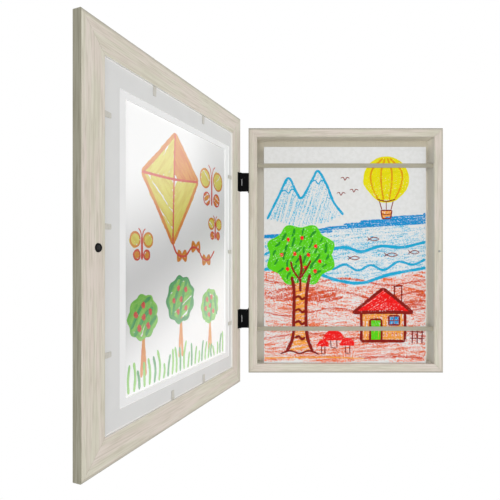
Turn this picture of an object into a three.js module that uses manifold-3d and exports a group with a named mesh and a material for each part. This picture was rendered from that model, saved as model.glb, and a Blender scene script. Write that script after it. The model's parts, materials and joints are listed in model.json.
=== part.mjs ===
// A wall frame for a child's drawings: a shallow wooden box that stores a stack of sheets behind two straps,
// and a glazed door on two side hinges that shows one sheet in a mat.
// Millimetres. +X is right, +Y goes into the wall and +Z is up. The origin is the centre of the box's back.
// The door stands open past square, as it does while drawings are changed.
import * as THREE from "three";
import { mergeVertices } from "three/addons/utils/BufferGeometryUtils.js";
import Module from "manifold-3d";

// The sheets that everything is built round
const SHEET_WIDTH = 228.6;
const SHEET_HEIGHT = 304.8;
const PAPER_THICKNESS = 0.3;

// Box
const WALL_THICKNESS = 12;
const BOX_DEPTH = 28;
const SIDE_ROOM = 9.7;
const TOP_ROOM = 13.2;
const STACK_SETBACK = 6;
const PANEL_THICKNESS = 3;
const PANEL_LEDGE = 9;
const PANEL_FIT = 0.3;
const EDGE_CHAMFER = 0.8;
const MITRE_GAP = 0.15;

// Straps across the box
const STRAP_WIDTH = 6;
const STRAP_THICKNESS = 1;
const STRAP_TUCK = 6;
const STRAP_PLACE_SHARES = [0.376, -0.347];

// Door moulding
const SIDE_OVERHANG = 13;
const END_OVERHANG = 12.5;
const DOOR_STANDOFF = 2;
const MOULDING_WIDTH = 26;
const LIP_WIDTH = 6;
const LIP_THICKNESS = 1.8;
const OPEN_ANGLE_DEGREES = 112.84;

// Layers in the door's rabbet, from the glass back to the open side
const GLASS_THICKNESS = 2;
const FRONT_MAT_THICKNESS = 1;
const COVER_THICKNESS = 0.4;
const INNER_MAT_THICKNESS = 0.5;
const OUTER_MAT_THICKNESS = 0.6;
const LAYER_COUNT = 6;
const LAYER_GAP = 0.15;
const LAYER_EDGE_FIT = 0.5;
const MAT_RECESS = 2;

// Windows in the mats
const FRONT_MAT_SIDE_LAP = 14.5;
const FRONT_MAT_END_LAP = 19.5;
const OUTER_MAT_SIDE_LAP = 5.8;
const OUTER_MAT_END_LAP = 13.6;
const INNER_BORDER_SIDE = 8.8;
const INNER_BORDER_END = 6;
const BACK_WINDOW_SHIFT = 6.6;
const BACK_WINDOW_DROP = 1.5;

// Steel points that hold the layers in the rabbet
const POINT_LENGTH = 9.5;
const POINT_WIDTH = 5.2;
const POINT_TIP_WIDTH = 4.6;
const POINT_CORNER_RADIUS = 0.8;
const POINT_THICKNESS = 0.4;
const POINT_WALL_GAP = 0.3;
const POINT_MAT_GAP = 0.15;
const FREE_STILE_POINT_SHARES = [0.35, 0.053, -0.288];
const HINGE_STILE_POINT_SHARES = [0.309, -0.007, -0.31];
const TOP_RAIL_POINT_SHARES = [0.209, -0.185];
const BOTTOM_RAIL_POINT_SHARES = [0.079, -0.19];

// Magnet and catch
const MAGNET_INSET = 18.3;
const MAGNET_DROP = 1.2;
const CUP_RADIUS = 3.6;
const CUP_DEPTH = 4;
const CUP_PROUD = 1;
const CUP_WALL = 1.1;
const MAGNET_RADIUS = 2.3;
const MAGNET_LENGTH = 3;
const CATCH_RADIUS = 1.6;
const CATCH_PROUD = 0.7;
const CATCH_SHANK_LENGTH = 8;

// Hinges
const HINGE_PLACE_SHARE = 0.278;
const HINGE_HEIGHT = 26;
const LEAF_THICKNESS = 1;
const DOOR_LEAF_REACH = 9.25;
const BOX_LEAF_FLANGE = 14;
const KNUCKLE_RADIUS = 2;
const KNUCKLE_BORE_RADIUS = 1.1;
const PIN_RADIUS = 0.85;
const PIN_HEAD_RADIUS = 1.6;
const PIN_HEAD_HEIGHT = 0.6;
const KNUCKLE_SHARE = 0.34;
const PIVOT_INSET = 1.5;
const PIVOT_BEHIND_DOOR = 0.5;
const HINGE_CLEARANCE = 0.3;
const KNUCKLE_ROOM = 0.5;

// Screws, nails, hangers and bumpers
const SCREW_HEAD_RADIUS = 1.7;
const SCREW_SHANK_RADIUS = 0.8;
const SCREW_LENGTH = 7;
const SCREW_SPREAD_SHARE = 0.28;
const SCREW_FIT = 0.25;
const SCREW_SINK = 0.05;
const NAIL_HEAD_RADIUS = 1.6;
const NAIL_HEAD_HEIGHT = 0.6;
const NAIL_SHANK_RADIUS = 0.6;
const NAIL_LENGTH = 9;
const HANGER_LENGTH = 42;
const HANGER_HEIGHT = 8;
const HANGER_THICKNESS = 0.9;
const HANGER_TAB_LENGTH = 9;
const HANGER_RAMP_LENGTH = 1.6;
const HANGER_EDGE_MARGIN = 0.5;
const TOOTH_SPACING = 2.2;
const TOOTH_DEPTH = 1.6;
const TOOTH_WIDTH_SHARE = 0.8;
const BUMPER_RADIUS = 4;
const BUMPER_THICKNESS = 2;
const BUMPER_CROWN_SHARE = 0.8;
const BUMPER_EDGE_MARGIN = 0.5;

// One overrun serves every cut, and round pieces share their counts of sides
const OVERRUN = 1;
const MERGE_DISTANCE = 1e-4;
const ROUND_SIDES = 28;
const SMALL_ROUND_SIDES = 16;
const TIP_CURVE_SIDES = 4;
const QUARTER_TURN = Math.PI / 2;
const FULL_TURN = 2 * Math.PI;
const QUARTER_TURN_DEGREES = 90;

// Sizes that follow
const HALF = 0.5;
const interiorWidth = SHEET_WIDTH + 2 * SIDE_ROOM;
const interiorHeight = SHEET_HEIGHT + TOP_ROOM;
const boxWidth = interiorWidth + 2 * WALL_THICKNESS;
const boxHeight = interiorHeight + 2 * WALL_THICKNESS;
const rimY = -BOX_DEPTH;
const panelFrontY = -PANEL_THICKNESS;
const stackFrontY = rimY + STACK_SETBACK;
const floorZ = -interiorHeight * HALF;

const doorWidth = boxWidth + 2 * SIDE_OVERHANG;
const doorHeight = boxHeight + 2 * END_OVERHANG;
const doorBackY = rimY - DOOR_STANDOFF;
const openingWidth = doorWidth - 2 * MOULDING_WIDTH;
const openingHeight = doorHeight - 2 * MOULDING_WIDTH;
const layerWidth = openingWidth - 2 * LAYER_EDGE_FIT;
const layerHeight = openingHeight - 2 * LAYER_EDGE_FIT;
const layersThickness = GLASS_THICKNESS + FRONT_MAT_THICKNESS + PAPER_THICKNESS + COVER_THICKNESS
  + INNER_MAT_THICKNESS + OUTER_MAT_THICKNESS + LAYER_COUNT * LAYER_GAP;
const doorThickness = LIP_THICKNESS + layersThickness + MAT_RECESS;
const doorFrontY = doorBackY - doorThickness;
const matBackY = doorBackY - MAT_RECESS;

const frontWindow = [SHEET_WIDTH - 2 * FRONT_MAT_SIDE_LAP, SHEET_HEIGHT - 2 * FRONT_MAT_END_LAP];
const outerWindow = [SHEET_WIDTH - 2 * OUTER_MAT_SIDE_LAP, SHEET_HEIGHT - 2 * OUTER_MAT_END_LAP];
const pictureWindow = [outerWindow[0] - 2 * INNER_BORDER_SIDE, outerWindow[1] - 2 * INNER_BORDER_END];
const backWindowCentre = [-BACK_WINDOW_SHIFT, -BACK_WINDOW_DROP];

const magnetPlace = [doorWidth * HALF - MAGNET_INSET, -MAGNET_DROP];
const pivotX = -doorWidth * HALF + PIVOT_INSET;
const pivotY = doorBackY + PIVOT_BEHIND_DOOR;
const hingeHeights = [boxHeight * HINGE_PLACE_SHARE, -boxHeight * HINGE_PLACE_SHARE];
const knuckleLength = HINGE_HEIGHT * KNUCKLE_SHARE;
const leafStart = KNUCKLE_RADIUS + HINGE_CLEARANCE;
const leafRoot = (KNUCKLE_RADIUS + KNUCKLE_BORE_RADIUS) * HALF - KNUCKLE_ROOM * HALF;
const screwSpread = HINGE_HEIGHT * SCREW_SPREAD_SHARE;
const doorLeafScrewX = pivotX + (leafStart + DOOR_LEAF_REACH - PIVOT_INSET) * HALF;
const boxLeafFrontY = pivotY + LEAF_THICKNESS * HALF;
const flangeScrewY = boxLeafFrontY + (BOX_LEAF_FLANGE + LEAF_THICKNESS) * HALF;
const nailInset = HANGER_EDGE_MARGIN + HANGER_HEIGHT * HALF;
const nailSpread = (HANGER_LENGTH - HANGER_TAB_LENGTH) * HALF;
const panelWidth = boxWidth - 2 * (PANEL_LEDGE + PANEL_FIT);
const panelHeight = boxHeight - 2 * (PANEL_LEDGE + PANEL_FIT);
const panelPinInset = (PANEL_LEDGE + WALL_THICKNESS) * HALF;

const wasm = await Module();
wasm.setup();

function finish(color, roughness, metalness) {
  return new THREE.MeshStandardMaterial({ color, roughness, metalness });
}

const laminate = finish(0xd3cabc, 0.55, 0);
const hardboard = finish(0x8a6b4c, 0.8, 0);
const clearGlass = finish(0xe8eeee, 0.05, 0);
const whiteMat = finish(0xdcdcdd, 0.85, 0);
const paleMat = finish(0xececee, 0.85, 0);
const drawingPaper = finish(0xf5f3ee, 0.9, 0);
const greigeElastic = finish(0xafaa9c, 0.9, 0);
const pointSteel = finish(0xa9a395, 0.4, 0.7);
const blackSteel = finish(0x1b1b1c, 0.45, 0.6);
const blackPlastic = finish(0x161617, 0.5, 0);
const magnetSteel = finish(0x4a4a4c, 0.35, 0.8);
const brightSteel = finish(0xc4c4c2, 0.3, 0.9);
const bumperRubber = finish(0x9a9a98, 0.7, 0);

// The closed solid of a three.js geometry, for cutting and joining.
function solid(geometry) {
  const bare = geometry.index ? geometry.toNonIndexed() : geometry.clone();
  bare.deleteAttribute("normal");
  bare.deleteAttribute("uv");
  const merged = mergeVertices(bare, MERGE_DISTANCE);
  const vertProperties = merged.getAttribute("position").array;
  const triVerts = new Uint32Array(merged.index.array);
  return new wasm.Manifold(new wasm.Mesh({ numProp: 3, vertProperties, triVerts }));
}

function geometryOf(shape) {
  const { vertProperties, triVerts } = shape.getMesh();
  const geometry = new THREE.BufferGeometry();
  geometry.setAttribute("position", new THREE.BufferAttribute(vertProperties, 3));
  geometry.setIndex(new THREE.BufferAttribute(triVerts, 1));
  const faceted = geometry.toNonIndexed();
  faceted.computeVertexNormals();
  return faceted;
}

const cut = (from, tools) => tools.reduce((left, tool) => left.subtract(tool), from);
const join = (pieces) => pieces.reduce((all, piece) => all.add(piece));

function outline(points) {
  return new THREE.Shape(points.map(([a, b]) => new THREE.Vector2(a, b)));
}

// A flat outline drawn in X and Z, given its thickness along Y with its back face at backY.
function slab(shape, backY, thickness) {
  const geometry = new THREE.ExtrudeGeometry(shape, {
    depth: thickness, bevelEnabled: false, curveSegments: TIP_CURVE_SIDES,
  });
  return geometry.rotateX(QUARTER_TURN).translate(0, backY, 0);
}

function block([x0, x1], [y0, y1], [z0, z1]) {
  const geometry = new THREE.BoxGeometry(x1 - x0, y1 - y0, z1 - z0);
  return geometry.translate((x0 + x1) * HALF, (y0 + y1) * HALF, (z0 + z1) * HALF);
}

function rectangle(width, height, [x, z] = [0, 0]) {
  const [w, h] = [width * HALF, height * HALF];
  return outline([[x - w, z - h], [x + w, z - h], [x + w, z + h], [x - w, z + h]]);
}

// A round solid about the Y axis through x, z, from a profile of [radius, y] points.
function turned(profile, [x, z], sides = ROUND_SIDES) {
  const points = profile.map(([radius, y]) => new THREE.Vector2(radius, y));
  return new THREE.LatheGeometry(points, sides).translate(x, 0, z);
}

// A plain round bore along Y.
function borehole(radius, [y0, y1], place, sides = SMALL_ROUND_SIDES) {
  return solid(turned([[0, y0], [radius, y0], [radius, y1], [0, y1]], place, sides));
}

// One member of a mitred frame, made as the top one of a frame of this outer size and then turned to its
// side. The profile's points are [distance in from the outer edge, y].
function member(outerWidth, outerHeight, profile, quarterTurns) {
  const upright = quarterTurns % 2 === 1;
  const [length, height] = upright ? [outerHeight, outerWidth] : [outerWidth, outerHeight];
  const bar = new THREE.ExtrudeGeometry(outline(profile), { depth: length, bevelEnabled: false });
  const across = new THREE.Vector3(0, 0, -1);
  const inward = new THREE.Vector3(0, 1, 0);
  const along = new THREE.Vector3(1, 0, 0);
  bar.applyMatrix4(new THREE.Matrix4().makeBasis(across, inward, along));
  bar.translate(-length * HALF, 0, height * HALF);
  const depths = profile.map(([, y]) => y);
  const reach = Math.max(...profile.map(([inset]) => inset)) + OVERRUN;
  const [frontY, backY] = [Math.min(...depths) - OVERRUN, Math.max(...depths) + OVERRUN];
  const mitre = slab(mitreOutline(length, height, reach), backY, backY - frontY);
  const piece = solid(bar).intersect(solid(mitre));
  return piece.rotate([0, QUARTER_TURN_DEGREES * quarterTurns, 0]);
}

function mitreOutline(length, height, reach) {
  const endGap = MITRE_GAP * Math.SQRT1_2;
  const [outer, inner] = [length * HALF + OVERRUN - endGap, length * HALF - reach - endGap];
  const [high, low] = [height * HALF + OVERRUN, height * HALF - reach];
  return outline([[-inner, low], [inner, low], [outer, high], [-outer, high]]);
}

const [TOP, RIGHT, BOTTOM, LEFT] = [0, 1, 2, 3];

const parts = new THREE.Group();
const door = new THREE.Group();
const doorClosed = new THREE.Group();
door.position.set(pivotX, pivotY, 0);
door.rotation.z = -THREE.MathUtils.degToRad(OPEN_ANGLE_DEGREES);
doorClosed.position.set(-pivotX, -pivotY, 0);
door.add(doorClosed);
parts.add(door);

function addTo(group, name, geometry, material) {
  const mesh = new THREE.Mesh(geometry, material);
  mesh.name = name;
  group.add(mesh);
}

// Box walls: mitred boards with a ledge at the back that the panel lies in.
function wall(side, cuts) {
  const profile = [
    [EDGE_CHAMFER, rimY], [WALL_THICKNESS, rimY], [WALL_THICKNESS, panelFrontY], [PANEL_LEDGE, panelFrontY],
    [PANEL_LEDGE, 0], [0, 0], [0, rimY + EDGE_CHAMFER],
  ];
  return geometryOf(cut(member(boxWidth, boxHeight, profile, side), cuts));
}

const strapHeights = STRAP_PLACE_SHARES.map((share) => share * interiorHeight);
const strapFrontY = stackFrontY - HINGE_CLEARANCE - STRAP_THICKNESS;

// A pocket in each side wall takes a strap's end.
function strapPockets(towards) {
  const inner = towards * interiorWidth * HALF;
  const ends = [inner - towards * OVERRUN, inner + towards * (STRAP_TUCK + PANEL_FIT)];
  const [low, high] = [Math.min(...ends), Math.max(...ends)];
  return strapHeights.map((z) => solid(block(
    [low, high],
    [strapFrontY - PANEL_FIT, strapFrontY + STRAP_THICKNESS + PANEL_FIT],
    [z - STRAP_WIDTH * HALF - PANEL_FIT, z + STRAP_WIDTH * HALF + PANEL_FIT],
  )));
}

const hingeScrewPlaces = hingeHeights.flatMap((z) => [z + screwSpread, z - screwSpread]);

// A bore along X into a side wall, open to the outside.
function sideBore(radius, x0, x1, y, z) {
  const bore = turned([[0, x0], [radius, x0], [radius, x1], [0, x1]], [0, 0], SMALL_ROUND_SIDES);
  return solid(bore.rotateZ(-QUARTER_TURN).translate(0, y, z));
}

const leftFace = -boxWidth * HALF;
const hingeScrewBores = hingeScrewPlaces.map((z) => sideBore(
  SCREW_SHANK_RADIUS + SCREW_FIT, leftFace - OVERRUN, leftFace + SCREW_LENGTH, flangeScrewY, z));

const topHangerZ = boxHeight * HALF - nailInset;
const sideHangerX = boxWidth * HALF - nailInset;
const nailBoreRadius = NAIL_SHANK_RADIUS + SCREW_FIT;
const nailBore = (x, z) => borehole(nailBoreRadius, [-NAIL_LENGTH - OVERRUN, OVERRUN], [x, z]);
const topNails = [[-nailSpread, topHangerZ], [nailSpread, topHangerZ]];
const sideNails = [[sideHangerX, -nailSpread], [sideHangerX, nailSpread]];
const panelPins = [
  [0, boxHeight * HALF - panelPinInset], [boxWidth * HALF - panelPinInset, boxHeight * HALF * HALF],
  [0, -boxHeight * HALF + panelPinInset], [-boxWidth * HALF + panelPinInset, 0],
];
const panelPinHeadY = -NAIL_HEAD_HEIGHT - SCREW_SINK;

// A pin's bore with a seat that its head is sunk in, so that the back lies flat on the wall.
function pinSeat([x, z]) {
  const headSeat = borehole(NAIL_HEAD_RADIUS + SCREW_FIT, [panelPinHeadY - SCREW_FIT, OVERRUN], [x, z]);
  return nailBore(x, z).add(headSeat);
}

const catchBore = borehole(nailBoreRadius, [rimY - OVERRUN, rimY + NAIL_LENGTH], magnetPlace);

function addBox() {
  const [topPin, rightPin, bottomPin, leftPin] = panelPins.map(pinSeat);
  const topBores = topNails.map(([x, z]) => nailBore(x, z));
  const sideBores = sideNails.map(([x, z]) => nailBore(x, z));
  addTo(parts, "box_top_wall", wall(TOP, [...topBores, topPin]), laminate);
  const rightCuts = [...strapPockets(1), ...sideBores, catchBore, rightPin];
  addTo(parts, "box_right_wall", wall(RIGHT, rightCuts), laminate);
  addTo(parts, "box_bottom_wall", wall(BOTTOM, [bottomPin]), laminate);
  addTo(parts, "box_left_wall", wall(LEFT, [...strapPockets(-1), ...hingeScrewBores, leftPin]), laminate);
  const panel = cut(solid(slab(rectangle(panelWidth, panelHeight), 0, PANEL_THICKNESS)),
    panelPins.map(pinSeat));
  addTo(parts, "back_panel", geometryOf(panel), hardboard);
  panelPins.forEach(([x, z], i) => {
    addTo(parts, `back_panel_pin_${i + 1}`, nail(panelPinHeadY, x, z), brightSteel);
  });
}

// The stack of stored drawings, the sheet on top of it, and the straps in front.
function addContents() {
  const sheetCentre = floorZ + PANEL_FIT + SHEET_HEIGHT * HALF;
  const sheet = rectangle(SHEET_WIDTH, SHEET_HEIGHT, [0, sheetCentre]);
  const topSheetBackY = stackFrontY + PAPER_THICKNESS;
  const stackBackY = panelFrontY - PANEL_FIT;
  const stackThickness = stackBackY - topSheetBackY - PANEL_FIT;
  addTo(parts, "drawing_stack", slab(sheet, stackBackY, stackThickness), drawingPaper);
  addTo(parts, "top_drawing", slab(sheet, topSheetBackY, PAPER_THICKNESS), drawingPaper);
  const reach = interiorWidth * HALF + STRAP_TUCK;
  ["upper_strap", "lower_strap"].forEach((name, i) => {
    const z = strapHeights[i];
    const band = block([-reach, reach], [strapFrontY, strapFrontY + STRAP_THICKNESS],
      [z - STRAP_WIDTH * HALF, z + STRAP_WIDTH * HALF]);
    addTo(parts, name, band, greigeElastic);
  });
}

// A round-headed nail driven in from the back, with the underside of its head at headY.
function nail(headY, x, z) {
  const tipY = headY - NAIL_LENGTH;
  const headTop = headY + NAIL_HEAD_HEIGHT;
  return turned([
    [0, tipY], [NAIL_SHANK_RADIUS, tipY + NAIL_SHANK_RADIUS], [NAIL_SHANK_RADIUS, headY],
    [NAIL_HEAD_RADIUS, headY], [NAIL_HEAD_RADIUS, headY + NAIL_HEAD_HEIGHT * HALF],
    [NAIL_HEAD_RADIUS * HALF, headTop], [0, headTop],
  ], [x, z], SMALL_ROUND_SIDES);
}

// A sawtooth hanger: a steel strip, joggled out between its nailed ends, with teeth along its lower edge.
function hanger() {
  const end = HANGER_LENGTH * HALF;
  const tab = end - HANGER_TAB_LENGTH;
  const rise = tab - HANGER_RAMP_LENGTH;
  const [low, high] = [HANGER_THICKNESS, 2 * HANGER_THICKNESS];
  const strip = outline([
    [-end, 0], [-tab, 0], [-rise, low], [rise, low], [tab, 0], [end, 0],
    [end, low], [tab, low], [rise, high], [-rise, high], [-tab, low], [-end, low],
  ]);
  const body = new THREE.ExtrudeGeometry(strip, { depth: HANGER_HEIGHT, bevelEnabled: false });
  body.translate(0, 0, -HANGER_HEIGHT * HALF);
  const foot = -HANGER_HEIGHT * HALF;
  const count = Math.floor((2 * rise) / TOOTH_SPACING);
  const notches = Array.from({ length: count }, (_, i) => {
    const x = (i - (count - 1) * HALF) * TOOTH_SPACING;
    const half = TOOTH_SPACING * HALF * TOOTH_WIDTH_SHARE;
    const tooth = outline([[x - half, foot - OVERRUN], [x + half, foot - OVERRUN], [x + half, foot],
      [x, foot + TOOTH_DEPTH], [x - half, foot]]);
    return solid(slab(tooth, high + OVERRUN, high + 2 * OVERRUN));
  });
  const bores = [-nailSpread, nailSpread].map(
    (x) => borehole(nailBoreRadius, [-OVERRUN, high + OVERRUN], [x, 0]));
  return geometryOf(cut(solid(body), [...notches, ...bores]));
}

function addBack() {
  addTo(parts, "hanger_top", hanger().translate(0, 0, topHangerZ), brightSteel);
  addTo(parts, "hanger_side", hanger().rotateY(QUARTER_TURN).translate(sideHangerX, 0, 0), brightSteel);
  [...topNails, ...sideNails].forEach(([x, z], i) => {
    addTo(parts, `hanger_nail_${i + 1}`, nail(HANGER_THICKNESS, x, z), brightSteel);
  });
  const bumperX = boxWidth * HALF - BUMPER_EDGE_MARGIN - BUMPER_RADIUS;
  const bumperZ = -boxHeight * HALF + BUMPER_EDGE_MARGIN + BUMPER_RADIUS;
  const shoulder = BUMPER_RADIUS * BUMPER_CROWN_SHARE;
  [-bumperX, bumperX].forEach((x, i) => {
    const dome = turned([
      [0, 0], [BUMPER_RADIUS, 0], [BUMPER_RADIUS, BUMPER_THICKNESS * HALF], [shoulder, BUMPER_THICKNESS],
      [0, BUMPER_THICKNESS],
    ], [x, bumperZ]);
    addTo(parts, `wall_bumper_${i + 1}`, dome, bumperRubber);
  });
}

// Door moulding: mitred members whose lip stands in front of the glass edge.
function rail(side, cuts) {
  const lipEdge = MOULDING_WIDTH + LIP_WIDTH;
  const lipBackY = doorFrontY + LIP_THICKNESS;
  const profile = [
    [EDGE_CHAMFER, doorFrontY], [lipEdge - EDGE_CHAMFER, doorFrontY],
    [lipEdge, doorFrontY + EDGE_CHAMFER], [lipEdge, lipBackY],
    [MOULDING_WIDTH, lipBackY], [MOULDING_WIDTH, doorBackY], [EDGE_CHAMFER, doorBackY],
    [0, doorBackY - EDGE_CHAMFER], [0, doorFrontY + EDGE_CHAMFER],
  ];
  return geometryOf(cut(member(doorWidth, doorHeight, profile, side), cuts));
}

// What each hinge needs cut out of the hinge stile: a seat for the leaf, a groove for the knuckles and
// two screw bores.
function hingeSeats() {
  const hingeEdge = -doorWidth * HALF;
  return hingeHeights.flatMap((z) => {
    const high = HINGE_HEIGHT * HALF + HINGE_CLEARANCE;
    const leafSeat = solid(block(
      [hingeEdge - OVERRUN, hingeEdge + DOOR_LEAF_REACH + HINGE_CLEARANCE],
      [doorBackY - LEAF_THICKNESS - LAYER_GAP, doorBackY + OVERRUN], [z - high, z + high]));
    const groove = solid(block(
      [hingeEdge - OVERRUN, pivotX + KNUCKLE_RADIUS + KNUCKLE_ROOM],
      [pivotY - KNUCKLE_RADIUS - KNUCKLE_ROOM, doorBackY + OVERRUN],
      [z - high - PIN_HEAD_HEIGHT - HINGE_CLEARANCE, z + high + PIN_HEAD_HEIGHT + HINGE_CLEARANCE]));
    const bores = [z + screwSpread, z - screwSpread].map((place) => borehole(
      SCREW_SHANK_RADIUS + SCREW_FIT, [doorBackY - SCREW_LENGTH - HINGE_CLEARANCE, doorBackY + OVERRUN],
      [doorLeafScrewX, place]));
    return [leafSeat, groove, ...bores];
  });
}

function addMoulding() {
  const cupSeat = borehole(CUP_RADIUS + SCREW_FIT,
    [doorBackY - CUP_DEPTH + CUP_PROUD - SCREW_FIT, doorBackY + OVERRUN], magnetPlace, ROUND_SIDES);
  addTo(doorClosed, "door_top_rail", rail(TOP, []), laminate);
  addTo(doorClosed, "door_free_stile", rail(RIGHT, [cupSeat]), laminate);
  addTo(doorClosed, "door_bottom_rail", rail(BOTTOM, []), laminate);
  addTo(doorClosed, "door_hinge_stile", rail(LEFT, hingeSeats()), laminate);
}

// The layers that lie in the rabbet, each against the one in front of it.
function addLayers() {
  const full = () => rectangle(layerWidth, layerHeight);
  const windowed = ([width, height], centre = [0, 0]) => {
    const shape = full();
    shape.holes.push(rectangle(width, height, centre));
    return shape;
  };
  const layers = [
    ["glass_pane", full(), GLASS_THICKNESS, clearGlass],
    ["front_mat", windowed(frontWindow), FRONT_MAT_THICKNESS, whiteMat],
    ["door_drawing", rectangle(SHEET_WIDTH, SHEET_HEIGHT), PAPER_THICKNESS, drawingPaper],
    ["clear_cover", full(), COVER_THICKNESS, clearGlass],
    ["inner_back_mat", windowed(pictureWindow, backWindowCentre), INNER_MAT_THICKNESS, paleMat],
    ["outer_back_mat", windowed(outerWindow, backWindowCentre), OUTER_MAT_THICKNESS, whiteMat],
  ];
  let frontY = doorFrontY + LIP_THICKNESS;
  layers.forEach(([name, shape, thickness, material]) => {
    frontY += LAYER_GAP + thickness;
    addTo(doorClosed, name, slab(shape, frontY, thickness), material);
  });
}

// A thin steel point, drawn with its root at the top and its round-cornered tip down, then turned to its
// rail.
function point(quarterTurns, along) {
  const [root, tip] = [POINT_WIDTH * HALF, POINT_TIP_WIDTH * HALF];
  const corner = tip - POINT_CORNER_RADIUS;
  const low = POINT_CORNER_RADIUS - POINT_LENGTH;
  const shape = new THREE.Shape();
  shape.moveTo(-root, -POINT_WALL_GAP);
  shape.lineTo(-tip, low);
  shape.absarc(-corner, low, POINT_CORNER_RADIUS, Math.PI, FULL_TURN - QUARTER_TURN, false);
  shape.absarc(corner, low, POINT_CORNER_RADIUS, FULL_TURN - QUARTER_TURN, FULL_TURN, false);
  shape.lineTo(root, -POINT_WALL_GAP);
  const backY = matBackY + POINT_MAT_GAP + POINT_THICKNESS;
  const reach = (quarterTurns % 2 === 1 ? openingWidth : openingHeight) * HALF;
  const piece = slab(shape, backY, POINT_THICKNESS).translate(along, 0, reach);
  return piece.rotateY(QUARTER_TURN * quarterTurns);
}

function addPoints() {
  const runs = [
    ["free_stile_point", RIGHT, FREE_STILE_POINT_SHARES, -openingHeight],
    ["top_rail_point", TOP, TOP_RAIL_POINT_SHARES, openingWidth],
    ["bottom_rail_point", BOTTOM, BOTTOM_RAIL_POINT_SHARES, -openingWidth],
    ["hinge_stile_point", LEFT, HINGE_STILE_POINT_SHARES, openingHeight],
  ];
  runs.forEach(([name, side, shares, span]) => shares.forEach((share, i) => {
    addTo(doorClosed, `${name}_${i + 1}`, point(side, share * span), pointSteel);
  }));
}

// Magnet in its cup on the door, and the steel catch that it meets on the box rim.
function addCatch() {
  const cupBack = doorBackY + CUP_PROUD;
  const cupFloor = cupBack - CUP_DEPTH;
  const boreFloor = cupBack - MAGNET_LENGTH - SCREW_FIT;
  const boreRadius = CUP_RADIUS - CUP_WALL;
  const cup = turned([
    [0, cupFloor], [CUP_RADIUS, cupFloor], [CUP_RADIUS, cupBack], [boreRadius, cupBack],
    [boreRadius, boreFloor], [0, boreFloor],
  ], magnetPlace);
  addTo(doorClosed, "magnet_cup", cup, blackPlastic);
  const [magnetFront, magnetBack] = [boreFloor + SCREW_FIT * HALF, boreFloor + MAGNET_LENGTH];
  const disc = turned([[0, magnetFront], [MAGNET_RADIUS, magnetFront], [MAGNET_RADIUS, magnetBack],
    [0, magnetBack]], magnetPlace);
  addTo(doorClosed, "magnet_disc", disc, magnetSteel);
  const crown = rimY - CATCH_PROUD;
  const tip = rimY + CATCH_SHANK_LENGTH;
  const pin = turned([
    [0, crown], [CATCH_RADIUS * HALF, crown], [CATCH_RADIUS, rimY - CATCH_PROUD * HALF],
    [CATCH_RADIUS, rimY], [NAIL_SHANK_RADIUS, rimY], [NAIL_SHANK_RADIUS, tip - NAIL_SHANK_RADIUS],
    [0, tip],
  ], magnetPlace);
  addTo(parts, "catch_pin", pin, brightSteel);
}

// A hollow barrel section about the hinge axis.
function knuckle(z0, z1) {
  const ring = new THREE.Shape().absarc(0, 0, KNUCKLE_RADIUS, 0, FULL_TURN, false);
  ring.holes.push(new THREE.Path().absarc(0, 0, KNUCKLE_BORE_RADIUS, 0, FULL_TURN, true));
  const barrel = new THREE.ExtrudeGeometry(ring, {
    depth: z1 - z0, bevelEnabled: false, curveSegments: SMALL_ROUND_SIDES * HALF,
  });
  return solid(barrel.translate(pivotX, pivotY, z0));
}

const middle = (knuckleLength - HINGE_CLEARANCE) * HALF;
const outer = (knuckleLength + HINGE_CLEARANCE) * HALF;
const hingeEnd = HINGE_HEIGHT * HALF;

// The tapered head and shank of a screw along Y, with its head's face at faceY.
function screwProfile(faceY, growth) {
  const [head, shank] = [SCREW_HEAD_RADIUS + growth, SCREW_SHANK_RADIUS + growth];
  const tipY = faceY - SCREW_LENGTH;
  return [[0, tipY], [shank, tipY + shank], [shank, faceY - LEAF_THICKNESS], [head, faceY], [0, faceY]];
}

function countersink(faceY, place) {
  const grown = screwProfile(faceY, SCREW_FIT);
  const open = grown.slice(0, -1).concat([
    [SCREW_HEAD_RADIUS + SCREW_FIT, faceY + OVERRUN], [0, faceY + OVERRUN],
  ]);
  return turned(open, place, SMALL_ROUND_SIDES);
}

// The door's leaf: let in flush on the door's inner face, with the middle knuckle.
function doorLeaf(z) {
  const [frontY, backY] = [doorBackY - LEAF_THICKNESS, doorBackY];
  const plate = solid(block([pivotX + leafStart, pivotX - PIVOT_INSET + DOOR_LEAF_REACH], [frontY, backY],
    [z - hingeEnd, z + hingeEnd]));
  const neck = solid(block([pivotX + leafRoot, pivotX + leafStart + OVERRUN], [frontY, backY],
    [z - middle, z + middle]));
  const sinks = [z + screwSpread, z - screwSpread].map(
    (place) => solid(countersink(backY, [doorLeafScrewX, place])));
  return geometryOf(cut(join([plate, neck, knuckle(z - middle, z + middle)]), sinks));
}

// The box's leaf: bridges from the barrel to the box, then turns back along the wall, with the end knuckles.
function boxLeaf(z) {
  const [frontY, backY] = [boxLeafFrontY, boxLeafFrontY + LEAF_THICKNESS];
  const bridge = solid(block([pivotX + leafStart, leftFace], [frontY, backY], [z - hingeEnd, z + hingeEnd]));
  const flange = solid(block([leftFace - LEAF_THICKNESS, leftFace], [frontY, frontY + BOX_LEAF_FLANGE],
    [z - hingeEnd, z + hingeEnd]));
  const ends = [[outer, hingeEnd], [-hingeEnd, -outer]].flatMap(([z0, z1]) => [
    solid(block([pivotX + leafRoot, pivotX + leafStart + OVERRUN], [frontY, backY], [z + z0, z + z1])),
    knuckle(z + z0, z + z1),
  ]);
  const sinks = [screwSpread, -screwSpread].map((rise) => solid(
    sideways(countersink(0, [0, 0]), z + rise)));
  return geometryOf(cut(join([bridge, flange, ...ends]), sinks));
}

// Turns a piece made along Y, face at zero, to stand on the flange and point into the box's left wall.
function sideways(geometry, z) {
  return geometry.rotateZ(QUARTER_TURN).translate(leftFace - LEAF_THICKNESS, flangeScrewY, z);
}

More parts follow.
